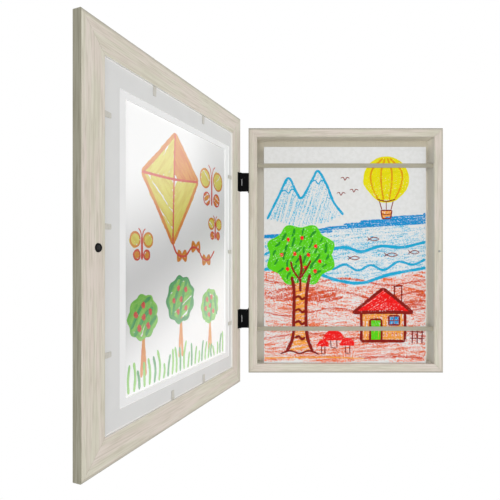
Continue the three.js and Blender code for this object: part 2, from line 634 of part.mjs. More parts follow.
function addHinges() {
  ["upper", "lower"].forEach((place, i) => {
    const z = hingeHeights[i];
    addTo(doorClosed, `${place}_hinge_door_leaf`, doorLeaf(z), blackSteel);
    addTo(parts, `${place}_hinge_box_leaf`, boxLeaf(z), blackSteel);
    const half = hingeEnd + PIN_HEAD_HEIGHT;
    const [neck, shoulder] = [hingeEnd + LAYER_GAP, half - PIN_HEAD_HEIGHT * HALF];
    const pin = new THREE.LatheGeometry([
      [0, -half], [PIN_HEAD_RADIUS, -shoulder], [PIN_HEAD_RADIUS, -neck], [PIN_RADIUS, -neck],
      [PIN_RADIUS, neck], [PIN_HEAD_RADIUS, neck], [PIN_HEAD_RADIUS, shoulder], [0, half],
    ].map(([radius, y]) => new THREE.Vector2(radius, y)), SMALL_ROUND_SIDES);
    addTo(parts, `${place}_hinge_pin`, pin.rotateX(QUARTER_TURN).translate(pivotX, pivotY, z), blackSteel);
    [screwSpread, -screwSpread].forEach((rise, j) => {
      const doorScrew = turned(screwProfile(doorBackY - SCREW_SINK, 0), [doorLeafScrewX, z + rise],
        SMALL_ROUND_SIDES);
      addTo(doorClosed, `${place}_door_leaf_screw_${j + 1}`, doorScrew, blackSteel);
      const boxScrew = sideways(turned(screwProfile(-SCREW_SINK, 0), [0, 0], SMALL_ROUND_SIDES), z + rise);
      addTo(parts, `${place}_box_leaf_screw_${j + 1}`, boxScrew, blackSteel);
    });
  });
}

addBox();
addContents();
addBack();
addMoulding();
addLayers();
addPoints();
addCatch();
addHinges();

export default parts;
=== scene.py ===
# A wall frame for a child's drawings: a shallow box that stores a stack of sheets behind two elastic straps,
# and a glazed door, hinged on the left and swung open, that shows one sheet in a mat. Metres throughout.
import json
import math
import random

import bmesh
import bpy
from mathutils import Matrix, Vector
from mathutils.geometry import interpolate_bezier


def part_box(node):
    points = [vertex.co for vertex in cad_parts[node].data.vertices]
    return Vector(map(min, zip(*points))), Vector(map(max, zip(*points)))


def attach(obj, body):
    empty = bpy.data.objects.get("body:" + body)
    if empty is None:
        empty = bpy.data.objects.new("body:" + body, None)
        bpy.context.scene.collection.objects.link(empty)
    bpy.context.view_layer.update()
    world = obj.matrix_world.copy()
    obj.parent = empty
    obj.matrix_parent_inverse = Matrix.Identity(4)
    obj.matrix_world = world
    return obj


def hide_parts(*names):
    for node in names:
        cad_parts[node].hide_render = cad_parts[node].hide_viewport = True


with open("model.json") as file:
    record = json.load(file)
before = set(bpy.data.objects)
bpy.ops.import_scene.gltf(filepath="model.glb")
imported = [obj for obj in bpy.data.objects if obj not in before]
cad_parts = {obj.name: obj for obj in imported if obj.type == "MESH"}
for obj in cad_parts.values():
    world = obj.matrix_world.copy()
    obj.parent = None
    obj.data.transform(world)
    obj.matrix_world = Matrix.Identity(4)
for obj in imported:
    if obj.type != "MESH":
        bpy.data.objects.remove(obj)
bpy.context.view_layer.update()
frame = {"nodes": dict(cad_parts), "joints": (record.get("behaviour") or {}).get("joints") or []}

# Camera
# It stands in front of the box, a little left of its middle and level with it, and looks straight at the
# wall. The lens and the small shifts are the photograph's.
CAMERA_PLACE = (-0.13332, -0.63601, -0.00783)
LENS_MM = 31.314
SENSOR_MM = 36.0
CAMERA_RISE = 0.0119
CAMERA_SLIDE = -0.001

camera = bpy.data.objects.new("photo_camera", bpy.data.cameras.new("photo_camera"))
camera.data.lens = LENS_MM
camera.data.sensor_width = SENSOR_MM
camera.data.shift_x = CAMERA_SLIDE
camera.data.shift_y = CAMERA_RISE
camera.location = CAMERA_PLACE
camera.rotation_euler = (math.radians(90), 0, 0)
bpy.context.scene.collection.objects.link(camera)
bpy.context.scene.camera = camera
bpy.context.scene.view_settings.view_transform = "Standard"


# Studio
# The frame hangs over a small pale floor that fades into a white room. Broad lamps stand behind the camera,
# to the right and to the left, and one more lights the backs. No lamp shows in a reflection, so that the shut
# door's glass mirrors only the room.
FLOOR_DROP = 0.9
FLOOR_RADIUS = 1.0
FLOOR_SIDES = 64
FLOOR_FADE_START = 0.45
FLOOR_FADE_END = 0.95
FLOOR_TONE = (0.8, 0.8, 0.8, 1)
FLOOR_CAMERA_LIFT = 0.4
ROOM_STRENGTH = 0.34
LAMP_WIDTH = 3.0
LAMPS = {
    "front_lamp": ((0.2, -4.4, -0.1), 66.0),
    "side_lamp": ((4.5, -0.6, 0.8), 118.0),
    "fill_lamp": ((-2.0, -4.1, -0.7), 70.0),
    "rear_lamp": ((-3.0, 3.4, 1.0), 85.0),
}


def add_node(tree, kind, inputs=None, **settings):
    """Adds a shader node, sets its options, and sets or links its inputs by name or number."""
    made = tree.nodes.new("ShaderNode" + kind)
    for name, value in settings.items():
        setattr(made, name, value)
    for socket, value in (inputs or {}).items():
        if isinstance(value, bpy.types.NodeSocket):
            tree.links.new(value, made.inputs[socket])
        else:
            made.inputs[socket].default_value = value
    return made


def fed_node(kind, inputs, **settings):
    """Adds a shader node to the tree that its inputs come from."""
    tree = next(value.id_data for value in inputs.values() if isinstance(value, bpy.types.NodeSocket))
    return add_node(tree, kind, inputs, **settings)


def math_node(operation, *values):
    return fed_node("Math", dict(enumerate(values)), operation=operation).outputs[0]


def times(first, second):
    return math_node("MULTIPLY", first, second)


def object_place(tree):
    return add_node(tree, "TexCoord").outputs["Object"]


def axes_of(place):
    return fed_node("SeparateXYZ", {0: place}).outputs


def object_from(name, bm):
    """Turns a bmesh into an object at the origin."""
    made = bpy.data.objects.new(name, bpy.data.meshes.new(name))
    bm.to_mesh(made.data)
    bm.free()
    bpy.context.scene.collection.objects.link(made)
    return made


world = bpy.data.worlds.new("white_room")
world.use_nodes = True
room = world.node_tree
room.nodes.clear()
path = add_node(room, "LightPath").outputs
seen = math_node("MAXIMUM", path["Is Camera Ray"], path["Is Glossy Ray"])
seen = math_node("MAXIMUM", seen, path["Is Transmission Ray"])
level = fed_node("MapRange", {"Value": seen, "To Min": ROOM_STRENGTH, "To Max": 1.0}).outputs[0]
white = fed_node("Background", {"Color": (1, 1, 1, 1), "Strength": level}).outputs[0]
fed_node("OutputWorld", {"Surface": white})
bpy.context.scene.world = world

for lamp_name, (place, power) in LAMPS.items():
    lamp = bpy.data.objects.new(lamp_name, bpy.data.lights.new(lamp_name, "AREA"))
    lamp.data.size = LAMP_WIDTH
    lamp.data.energy = power
    lamp.location = place
    lamp.rotation_euler = (-Vector(place)).to_track_quat("-Z", "Y").to_euler()
    lamp.visible_glossy = False
    lamp.visible_transmission = False
    bpy.context.scene.collection.objects.link(lamp)

floor_mesh = bmesh.new()
bmesh.ops.create_circle(floor_mesh, cap_ends=True, segments=FLOOR_SIDES, radius=FLOOR_RADIUS)
bmesh.ops.translate(floor_mesh, verts=floor_mesh.verts, vec=(0, 0, -FLOOR_DROP))
floor = object_from("studio_floor", floor_mesh)

floor_paint = bpy.data.materials.new("studio_floor")
floor_paint.use_nodes = True
tree = floor_paint.node_tree
tree.nodes.clear()
spot = axes_of(object_place(tree))
distance = math_node("SQRT", math_node("ADD", times(spot["X"], spot["X"]), times(spot["Y"], spot["Y"])))
fade = fed_node("MapRange", {"Value": distance, "From Min": FLOOR_FADE_START, "From Max": FLOOR_FADE_END},
                interpolation_type="SMOOTHSTEP").outputs[0]
lift = times(add_node(tree, "LightPath").outputs["Is Camera Ray"], FLOOR_CAMERA_LIFT)
matt = add_node(tree, "BsdfDiffuse", {"Color": FLOOR_TONE}).outputs[0]
glow = fed_node("Emission", {"Color": (1, 1, 1, 1), "Strength": lift}).outputs[0]
lit = fed_node("AddShader", {0: matt, 1: glow}).outputs[0]
clear = add_node(tree, "BsdfTransparent").outputs[0]
faded_floor = fed_node("MixShader", {0: fade, 1: lit, 2: clear}).outputs[0]
fed_node("OutputMaterial", {"Surface": faded_floor})
floor.data.materials.append(floor_paint)


# Door moulding and box walls
# Eight mitred members of board, glued at the mitres and wrapped in a printed greige film. Its grain runs
# along each member. The narrow outer edges are painted darker and greener and the face darker beside them,
# as painted shade. The box's inner faces and the door's rabbet walls are painted lighter, as painted light.
FACE_TONES = [(208, 204, 187), (188, 181, 164), (225, 220, 208), (215, 204, 194)]
# The face's rim tone and the edge tones are painted shade, on and beside the members' outer edges.
FACE_RIM_PAINTED_SHADE = (172, 166, 152)
EDGE_PAINTED_SHADE_TONES = [(149, 146, 129), (126, 122, 105), (165, 161, 145), (149, 146, 129)]
# Painted light: the box walls' inner faces are lighter, by a different amount on each wall.
INSIDE_PAINTED_LIGHT_TONES = [(250, 244, 230), (255, 252, 242), (255, 250, 238), (223, 217, 204)]
INSIDE_PAINTED_LIGHT_RIM_SHARES = [0.95, 0.78, 0.85, 0.95]
INSIDE_DARK_SHARE = 0.93
# Painted light: the walls of the door's rabbet are near white, by a different amount on each member.
RABBET_PAINTED_LIGHT_TONES = [(253, 251, 246), (253, 251, 246), (230, 227, 221), (240, 238, 232)]
RABBET_LIGHT_REACH = 0.0003
RABBET_LIGHT_MARGIN = 0.0001
SIDE_EDGE_WIDTH = 0.0004
END_EDGE_WIDTH = 0.0009
GRAIN_STRETCH = (16.0, 640.0, 640.0)
LINE_STRETCH = (40.0, 1300.0, 1300.0)
CLOUD_STRETCH = (12.0, 110.0, 110.0)
FILM_ROUGHNESS = (0.44, 0.6)
GRAIN_DEPTH = 0.000008
RIM_SHADE_REACH = (0.0014, 0.0032)
RIM_SHADE_SHARE = 0.6
INSIDE_PAINTED_LIGHT_DEPTH = 0.018
EDGE_FIT = 0.0005
GRAIN_SHIFT = (0.71, 0.37, 0.0)
DOOR_MEMBERS = ["door_top_rail", "door_free_stile", "door_bottom_rail", "door_hinge_stile"]
BOX_MEMBERS = ["box_top_wall", "box_right_wall", "box_bottom_wall", "box_left_wall"]
DOOR_FIRST_SHIFT = 1
BOX_FIRST_SHIFT = 6

door_joint = next(joint for joint in frame["joints"] if joint["name"] == "door_hinge")
pivot = Vector(door_joint["pos_m"])
opening_turn = math.radians(max(door_joint["range_deg"]))
door_place = Matrix.Translation(pivot) @ Matrix.Rotation(-opening_turn, 4, "Z") @ Matrix.Translation(-pivot)
close_shift = pivot - Matrix.Rotation(opening_turn, 3, "Z") @ pivot


def tint(tone):
    """A colour given on a 0 to 255 screen scale, as the linear colour a shader wants."""
    shares = [value / 255 for value in tone]
    linear = [share / 12.92 if share <= 0.04045 else ((share + 0.055) / 1.055) ** 2.4 for share in shares]
    return linear + [1.0]


def darker(colour, share):
    return [value * share for value in colour[:3]] + [1.0]


def mixed(share, first, second):
    """Goes from the first colour to the second as share goes from 0 to 1."""
    return fed_node("Mix", {0: share, 6: first, 7: second}, data_type="RGBA").outputs[2]


def dimmed(colour, share):
    return fed_node("VectorMath", {0: colour, "Scale": share}, operation="SCALE").outputs[0]


def ramp(value, low, high, to_low=0.0, to_high=1.0):
    """Eases from to_low to to_high as the value goes from low to high."""
    inputs = {"Value": value, "From Min": low, "From Max": high, "To Min": to_low, "To Max": to_high}
    return fed_node("MapRange", inputs, interpolation_type="SMOOTHSTEP").outputs[0]


def even(scale):
    return (scale, scale, scale)


def noise(place, scale=(1.0, 1.0, 1.0), detail=3.0):
    spread = fed_node("Mapping", {"Vector": place, "Scale": scale}).outputs[0]
    return fed_node("TexNoise", {"Vector": spread, "Scale": 1.0, "Detail": detail}).outputs[0]


def new_group(name, inputs, outputs):
    """An empty shader group, with its input sockets to read from and its output sockets to link to."""
    group = bpy.data.node_groups.new(name, "ShaderNodeTree")
    for label, kind in inputs.items():
        group.interface.new_socket(label, in_out="INPUT", socket_type="NodeSocket" + kind)
    for label, kind in outputs.items():
        group.interface.new_socket(label, in_out="OUTPUT", socket_type="NodeSocket" + kind)
    return group, group.nodes.new("NodeGroupInput").outputs, group.nodes.new("NodeGroupOutput").inputs


def use_group(group, inputs):
    return fed_node("Group", inputs, node_tree=group).outputs


def new_material(name, plain):
    """A material with one shader, its plain sockets set, and its tree to work on."""
    made = bpy.data.materials.new(name)
    made.use_nodes = True
    shader = made.node_tree.nodes["Principled BSDF"]
    for label, value in plain.items():
        shader.inputs[label].default_value = value
    return made, made.node_tree, shader


def drive(shader, sources):
    for label, socket in sources.items():
        shader.id_data.links.new(socket, shader.inputs[label])


def bumped(height, depth):
    return fed_node("Bump", {"Height": height, "Distance": depth, "Strength": 1.0}).outputs[0]


film, given, gives = new_group("printed_film", {
    "Vector": "Vector", "Tone": "Color", "Dark": "Color", "Pale": "Color", "Warm": "Color",
}, {"Color": "Color", "Roughness": "Float", "Height": "Float"})
grain = noise(given["Vector"], GRAIN_STRETCH, 4.0)
lines = noise(given["Vector"], LINE_STRETCH, 2.0)
clouds = noise(given["Vector"], CLOUD_STRETCH, 2.0)
shade = mixed(ramp(clouds, 0.4, 0.62), given["Tone"], given["Warm"])
shade = mixed(ramp(grain, 0.5, 0.7, 0.0, 0.6), shade, given["Dark"])
shade = mixed(ramp(grain, 0.3, 0.5, 0.5, 0.0), shade, given["Pale"])
shade = mixed(ramp(lines, 0.5, 0.66, 0.0, 0.7), shade, given["Dark"])
film.links.new(shade, gives["Color"])
film.links.new(ramp(lines, 0.3, 0.7, *FILM_ROUGHNESS), gives["Roughness"])
raised = math_node("SUBTRACT", ramp(grain, 0.3, 0.7), ramp(lines, 0.5, 0.7))
film.links.new(raised, gives["Height"])


def printed(place, tone, dark, pale, warm):
    return use_group(film, {"Vector": place, "Tone": tone, "Dark": dark, "Pale": pale, "Warm": warm})


def shut_place(tree):
    """Object coordinates as they are with the door shut."""
    inputs = {"Vector": object_place(tree), "Rotation": (0, 0, opening_turn), "Location": close_shift}
    return fed_node("Mapping", inputs).outputs[0]


def near_value(value, middle, reach):
    return math_node("COMPARE", value, middle, reach)


def reordered(axes, order):
    return fed_node("CombineXYZ", {i: axes[axis] for i, axis in enumerate(order)}).outputs[0]


def past(axis, limit):
    """1 farther out than the limit on either side of the middle, and 0 nearer in."""
    return math_node("GREATER_THAN", math_node("ABSOLUTE", axis), limit)


def from_rim(axis, width):
    """How far in from the nearer end of a width."""
    return math_node("SUBTRACT", width / 2, math_node("ABSOLUTE", axis))


def member_film(name, index, on_door, width, height):
    """The film on one member: grain along it, painted shade at its outer edges, painted light in shaded
    recesses.
    """
    made, tree, shader = new_material(name + "_film", {"Specular IOR Level": 0.4})
    upright = index % 2 == 1
    axes = axes_of(shut_place(tree) if on_door else object_place(tree))
    shift = Vector(GRAIN_SHIFT) * (index + (DOOR_FIRST_SHIFT if on_door else BOX_FIRST_SHIFT))
    grain_place = fed_node("VectorMath", {0: reordered(axes, "ZXY" if upright else "XZY"), 1: shift},
                           operation="ADD").outputs[0]
    face = printed(grain_place, *map(tint, FACE_TONES))
    edge = printed(grain_place, *map(tint, EDGE_PAINTED_SHADE_TONES))
    on_edge = math_node("MAXIMUM", past(axes["X"], width / 2 - SIDE_EDGE_WIDTH),
                        past(axes["Z"], height / 2 - END_EDGE_WIDTH))
    inwards = from_rim(axes["Z"], height)
    if not on_door:
        inwards = math_node("MINIMUM", inwards, from_rim(axes["X"], width))
    # Painted shade: the face darkens beside its outer edges, and the edge faces take the darker edge tones.
    painted_rim_shade = ramp(inwards, *RIM_SHADE_REACH, RIM_SHADE_SHARE, 0.0)
    colour = mixed(painted_rim_shade, face["Color"], tint(FACE_RIM_PAINTED_SHADE))
    colour = mixed(on_edge, colour, edge["Color"])
    if not on_door:
        # Painted light lifts the inner faces' shade, less near the rim and fully from a little way in.
        inner = tint(INSIDE_PAINTED_LIGHT_TONES[index])
        inside = printed(grain_place, inner, darker(inner, INSIDE_DARK_SHARE), inner, inner)
        behind_rim = math_node("GREATER_THAN", axes["Y"], box_front + END_EDGE_WIDTH)
        within = times(behind_rim, math_node("SUBTRACT", 1.0, on_edge))
        light = ramp(axes["Y"], box_front, box_front + INSIDE_PAINTED_LIGHT_DEPTH, INSIDE_PAINTED_LIGHT_RIM_SHARES[index], 1.0)
        colour = mixed(within, colour, dimmed(inside["Color"], light))
    else:
        across, half = (axes["X"], opening_width / 2) if upright else (axes["Z"], opening_height / 2)
        at_wall = near_value(math_node("ABSOLUTE", across), half, RABBET_LIGHT_REACH)
        rabbet_depth = door_back - mat_front
        in_rabbet = near_value(axes["Y"], (door_back + mat_front) / 2, rabbet_depth / 2 - RABBET_LIGHT_MARGIN)
        # Painted light: the rabbet's walls are painted near white where shade would fall on them.
        colour = mixed(times(at_wall, in_rabbet), colour, tint(RABBET_PAINTED_LIGHT_TONES[index]))
    drive(shader, {"Base Color": colour, "Roughness": face["Roughness"],
                   "Normal": bumped(face["Height"], GRAIN_DEPTH)})
    return made


def coat(node_names, material):
    """Gives carried-over CAD nodes a finished material."""
    for node_name in node_names:
        for slot in frame["nodes"][node_name].material_slots:
            slot.material = material


def node_box(node_name):
    """A CAD node's lowest and highest corners."""
    return tuple(Vector(corner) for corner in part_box(node_name))


def closed_box(node_name):
    """A door node's lowest and highest corners with the door shut."""
    spots = [door_place.inverted() @ vert.co for vert in frame["nodes"][node_name].data.vertices]
    return (Vector([min(spot[axis] for spot in spots) for axis in range(3)]),
            Vector([max(spot[axis] for spot in spots) for axis in range(3)]))


box_low = node_box("box_left_wall")[0]
box_high = node_box("box_right_wall")[1]
box_front = box_low.y
stile_low, stile_high = node_box("door_free_stile")
rail_low, rail_high = closed_box("door_top_rail")
door_back = rail_high.y
glass_low, glass_high = closed_box("glass_pane")
opening_width = glass_high.x - glass_low.x + 2 * EDGE_FIT
opening_height = glass_high.z - glass_low.z + 2 * EDGE_FIT
mat_front = glass_low.y

for members, on_door, width, height in (
        (DOOR_MEMBERS, True, rail_high.x - rail_low.x, stile_high.z - stile_low.z),
        (BOX_MEMBERS, False, box_high.x - box_low.x, box_high.z - box_low.z)):
    for index, node_name in enumerate(members):
        coat([node_name], member_film(node_name, index, on_door, width, height))


# Back panel
# A thin fibreboard, pinned into the ledge at the back of the walls. Its front is filmed like the walls, and
# painted palest in the slots at the sides, as painted light where no light reaches it. Its back is bare
# board with pressed fibres.
PANEL_FILM = (208, 202, 186)
PANEL_FILM_DARK = (202, 196, 179)
PANEL_SLOT_PAINTED_LIGHT = (249, 243, 230)
PANEL_FIBRE = (160, 124, 88)
PANEL_FLECK = (126, 94, 64)
PANEL_LIGHT_FIBRE = (188, 154, 116)
FIBRE_STRETCH = (520.0, 1.0, 1400.0)
FIBRE_DEPTH = 0.00005
FLECK_SPREAD = (900.0, 1.0, 900.0)
SLOT_SHADE_REACH = 0.006
SLOT_LIGHT_REACH = 0.035

panel_board, tree, shader = new_material("filmed_fibreboard", {"Roughness": 0.72, "Specular IOR Level": 0.3})
place = object_place(tree)
fibres = noise(place, FIBRE_STRETCH, 5.0)
flecks = noise(place, FLECK_SPREAD)
bare = mixed(ramp(fibres, 0.35, 0.7), tint(PANEL_FIBRE), tint(PANEL_LIGHT_FIBRE))
bare = mixed(ramp(flecks, 0.58, 0.72, 0.0, 0.8), bare, tint(PANEL_FLECK))
panel_axes = axes_of(place)
plain_film = tint(PANEL_FILM)
filmed = printed(reordered(panel_axes, "ZXY"), plain_film, tint(PANEL_FILM_DARK), plain_film, plain_film)
panel_low, panel_high = node_box("back_panel")
pile_low, pile_high = node_box("drawing_stack")
outwards = math_node("ABSOLUTE", panel_axes["X"])
beside = ramp(outwards, pile_high.x - SLOT_SHADE_REACH, pile_high.x)
above = ramp(panel_axes["Z"], pile_high.z - SLOT_LIGHT_REACH, pile_high.z, 1.0, 0.0)
# Painted light: the film is paler in the side slots, where the lamps hardly reach it.
front_film = mixed(times(beside, above), filmed["Color"], tint(PANEL_SLOT_PAINTED_LIGHT))
on_back = math_node("GREATER_THAN", panel_axes["Y"], (panel_low.y + panel_high.y) / 2)
drive(shader, {"Base Color": mixed(on_back, front_film, bare),
               "Normal": bumped(times(fibres, on_back), FIBRE_DEPTH)})
coat(["back_panel"], panel_board)


# Stored drawings
# A loose pile of drawing sheets that fills the box to just below the rim. Each sheet lies a hair out of line
# with its neighbours, so the pile's edges show as fine uneven leaves.
SHEET_COUNT = 40
SHEET_SLIP = 0.0005
SHEET_TURN = 0.0012
PAPER_TONE = (228, 229, 229)
PAPER_SHADE = (222, 223, 222)
PAPER_EDGE_TONE = (205, 201, 190)
PAPER_TOOTH = even(2600.0)
PAPER_TOOTH_DEPTH = 0.00003
PAPER_MOTTLE = even(180.0)
LEAF_STRETCH = (1.0, 2200.0, 1.0)
LEAF_SHARE = 0.9

paper, given, gives = new_group("drawing_paper", {"Vector": "Vector"}, {"Color": "Color", "Height": "Float"})
tooth = noise(given["Vector"], PAPER_TOOTH)
mottle = noise(given["Vector"], PAPER_MOTTLE)
mottled = mixed(ramp(mottle, 0.35, 0.68), tint(PAPER_TONE), tint(PAPER_SHADE))
paper.links.new(mottled, gives["Color"])
paper.links.new(tooth, gives["Height"])


def make_piece(name, bm, material, body, smooth_angle=None):
    """Turns a bmesh into a finished piece that rides on a CAD body."""
    piece = object_from(name, bm)
    piece.data.materials.append(material)
    if smooth_angle:
        piece.data.shade_smooth()
        piece.data.set_sharp_from_angle(angle=math.radians(smooth_angle))
    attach(piece, body)
    return piece


sheet_paper, tree, shader = new_material("sheet_paper", {"Roughness": 0.9, "Specular IOR Level": 0.2})
place = object_place(tree)
tone = use_group(paper, {"Vector": place})
leaves = ramp(noise(place, LEAF_STRETCH, 1.0), 0.45, 0.6, 0.0, 0.5)
drive(shader, {"Base Color": mixed(leaves, tone["Color"], tint(PAPER_EDGE_TONE)),
               "Normal": bumped(tone["Height"], PAPER_TOOTH_DEPTH)})

leaf_thickness = (pile_high.y - pile_low.y) / SHEET_COUNT
sheet_width = pile_high.x - pile_low.x
sheet_height = pile_high.z - pile_low.z
leaf_size = (sheet_width - 2 * SHEET_SLIP, leaf_thickness * LEAF_SHARE, sheet_height - 2 * SHEET_SLIP, 1)
draw = random.Random(11)
pile_mesh = bmesh.new()
for leaf in range(SHEET_COUNT):
    middle = Vector((draw.uniform(-SHEET_SLIP, SHEET_SLIP), pile_low.y + (leaf + 0.5) * leaf_thickness,
                     (pile_low.z + pile_high.z) / 2 + draw.uniform(-SHEET_SLIP, SHEET_SLIP)))
    skew = Matrix.Rotation(draw.uniform(-SHEET_TURN, SHEET_TURN), 4, "Y")
    leaf_place = Matrix.Translation(middle) @ skew @ Matrix.Diagonal(leaf_size)
    bmesh.ops.create_cube(pile_mesh, size=1.0, matrix=leaf_place)
stored_sheets = make_piece("stored_sheets", pile_mesh, sheet_paper, "box")
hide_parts("drawing_stack")
coat(["top_drawing"], sheet_paper)


# Crayon drawing
# A child's wax crayon drawing on the pile's top sheet: a hot-air balloon beside mountains, a lake with fish,
# and a tree, a house, mushrooms and a fence on the ground. The wax skips over the paper's tooth and builds up
# in layers.
STROKE_THICKNESS = 0.00003
FIRST_LIFT = 0.00002
LAYER_LIFT = 0.000018
STROKE_LIFT = 0.0000002
PATH_STEP = 0.0025
SHEET_MARGIN = 0.0003
WIDTH_WAVER = 0.12
END_WIDTH_SHARE = 0.5
SEED_REACH = 50
HATCH_WIDTH_WAVER = 0.15
HATCH_GAP_WAVER = 0.2
HATCH_END_SWAY = 0.2
HATCH_SWAY = 0.3
DAB_REACH_SHARE = 0.35
DAB_TILT_SHARE = 0.2
DAB_WIDTH_SHARE = 0.8
TOOTH_GRAIN = even(780.0)
STREAK_STRETCH = (70.0, 3.0)
STREAK_SHARE = 0.35
PATCH_STRETCH = (22.0, 22.0, 50.0)
PATCH_SHARE = 0.3
RIM_POWER = 3.0
RIM_LOSS_SHARE = 0.12
COVER_SHARE = 0.42
DEEP_WAX_SHARE = 0.7
HOUSE_BOW = (0.0003, 0.0004, 0)


def rounded(points):
    """A smooth path through the points, with a step of about PATH_STEP."""
    ends = [points[0] * 2 - points[1], *points, points[-1] * 2 - points[-2]]
    path = [points[0]]
    for before, start, stop, after in zip(ends, ends[1:], ends[2:], ends[3:]):
        count = max(2, math.ceil((stop - start).length / PATH_STEP) + 1)
        leaving, arriving = start + (stop - before) / 6, stop - (after - start) / 6
        path += interpolate_bezier(start, leaving, arriving, stop, count)[1:]
    return path


class Sketch:
    """A drawing in flat layers, one for each colour, over a sheet that is centred on the origin."""

    def __init__(self, width, height, colours, seed):
        self.size = (width, height)
        self.reach = (width / 2 - SHEET_MARGIN, height / 2 - SHEET_MARGIN)
        self.draw = random.Random(seed)
        self.layers = {colour: bmesh.new() for colour in colours}
        self.lifts = {colour: FIRST_LIFT + LAYER_LIFT * i for i, colour in enumerate(colours)}
        for bm in self.layers.values():
            bm.verts.layers.float_vector.new("mark")

    def at(self, u, v):
        """The place at these shares of the sheet's width and height."""
        return Vector(((u - 0.5) * self.size[0], (v - 0.5) * self.size[1], 0))

    def waver(self, share):
        return self.draw.uniform(1 - share, 1 + share)

    def stroke(self, colour, points, width):
        """Lays one stroke: a strip along a path that wavers in width and narrows at its ends."""
        bm = self.layers[colour]
        marks = bm.verts.layers.float_vector["mark"]
        path = rounded(points)
        last = len(path) - 1
        self.lifts[colour] += STROKE_LIFT
        seed = self.draw.uniform(0, SEED_REACH)
        halves = [width / 2 * self.waver(WIDTH_WAVER) for _ in path]
        halves[0] *= END_WIDTH_SHARE
        halves[-1] *= END_WIDTH_SHARE
        strip = bmesh.ops.create_grid(bm, x_segments=last, y_segments=1, size=0.5)["verts"]
        for vert in strip:
            i = round((vert.co.x + 0.5) * last)
            side = 1 if vert.co.y > 0 else -1
            ahead = path[min(i + 1, last)] - path[max(i - 1, 0)]
            aside = Vector((-ahead.y, ahead.x, 0)).normalized()
            vert[marks] = (i * PATH_STEP, side / 2 + 0.5, seed)
            spot = path[i] + aside * side * halves[i]
            kept = [max(-reach, min(reach, value)) for value, reach in zip(spot, self.reach)]
            vert.co = (*kept, self.lifts[colour])

    def line(self, colour, places, width):
        self.stroke(colour, [self.at(u, v) for u, v in places], width)

    def lines(self, colour, rows):
        """Draws several lines, each given as its width and then its places."""
        for width, *places in rows:
            self.line(colour, places, width)

    def loop(self, colour, corners, width):
        self.stroke(colour, [*corners, corners[0]], width)

    def sides(self, colour, corners, width, bow=(0, 0, 0)):
        """Draws each side of an outline as a stroke of its own, bowed at its middle."""
        for start, stop in zip(corners, corners[1:] + corners[:1]):
            self.stroke(colour, [start, (start + stop) / 2 + Vector(bow), stop], width)

    def hatch(self, colour, corners, angle, gap, width):
        """Fills a closed outline with near-parallel strokes, as a child colours it in."""
        turn = Matrix.Rotation(math.radians(angle), 3, "Z")
        ring = [turn.inverted() @ corner for corner in corners]
        level = min(corner.y for corner in ring) + gap / 2
        while level < max(corner.y for corner in ring):
            crossings = sorted(a.x + (level - a.y) / (b.y - a.y) * (b.x - a.x)
                               for a, b in zip(ring, ring[1:] + ring[:1]) if (a.y > level) != (b.y > level))
            for start, stop in zip(crossings[::2], crossings[1::2]):
                if stop - start > gap:
                    middle = (start + stop) / 2
                    spots = [(start, HATCH_END_SWAY), (middle, HATCH_SWAY), (stop, HATCH_END_SWAY)]
                    points = [turn @ Vector((x + self.draw.uniform(-HATCH_SWAY, HATCH_SWAY) * gap,
                                             level + self.draw.uniform(-sway, sway) * gap, 0))
                              for x, sway in spots]
                    self.stroke(colour, points, width * self.waver(HATCH_WIDTH_WAVER))
            level += gap * self.waver(HATCH_GAP_WAVER)

    def fill(self, colour, places, angle, gap, width):
        self.hatch(colour, [self.at(u, v) for u, v in places], angle, gap, width)

    def dab(self, colour, middle, size):
        """A short thick touch of colour."""
        tilt = self.draw.uniform(-DAB_TILT_SHARE, DAB_TILT_SHARE)
        reach = Vector((size * DAB_REACH_SHARE, size * tilt, 0))
        self.stroke(colour, [middle - reach, middle, middle + reach], size * DAB_WIDTH_SHARE)

    def lay(self, name, materials, face, body):
        """Gives the layers their thickness and lays a copy of each on a face of the sheet."""
        for colour, layer in self.layers.items():
            bm = layer.copy()
            bmesh.ops.solidify(bm, geom=bm.faces[:], thickness=STROKE_THICKNESS)
            bmesh.ops.transform(bm, matrix=face, verts=bm.verts)
            make_piece(f"{name}_{colour}", bm, materials[colour], body)


def ellipse(middle, across, up, start=0, stop=360, count=12):
    """Points round an ellipse, counted in degrees from the right and anticlockwise."""
    turns = [math.radians(start + (stop - start) * i / count) for i in range(count)]
    return [middle + Vector((across * math.cos(a), up * math.sin(a), 0)) for a in turns]


def cloudy(middle, across, up, lobes, bulge):
    """An outline of round lobes about an ellipse."""
    return [spot + (spot - middle) * (bulge if i % 2 else 0)
            for i, spot in enumerate(ellipse(middle, across, up, count=2 * lobes))]


def stroke_place(mark, stretch):
    """A place that follows each stroke, for streaks that run along it."""
    along, across = (times(mark[axis], scale) for axis, scale in zip("XY", stretch))
    return fed_node("CombineXYZ", {0: along, 1: across, 2: mark["Z"]}).outputs[0]


def stroke_rim(mark):
    """0 along the middle of a stroke, and 1 at its two edges."""
    return math_node("ABSOLUTE", math_node("SUBTRACT", times(mark["Y"], 2.0), 1.0))


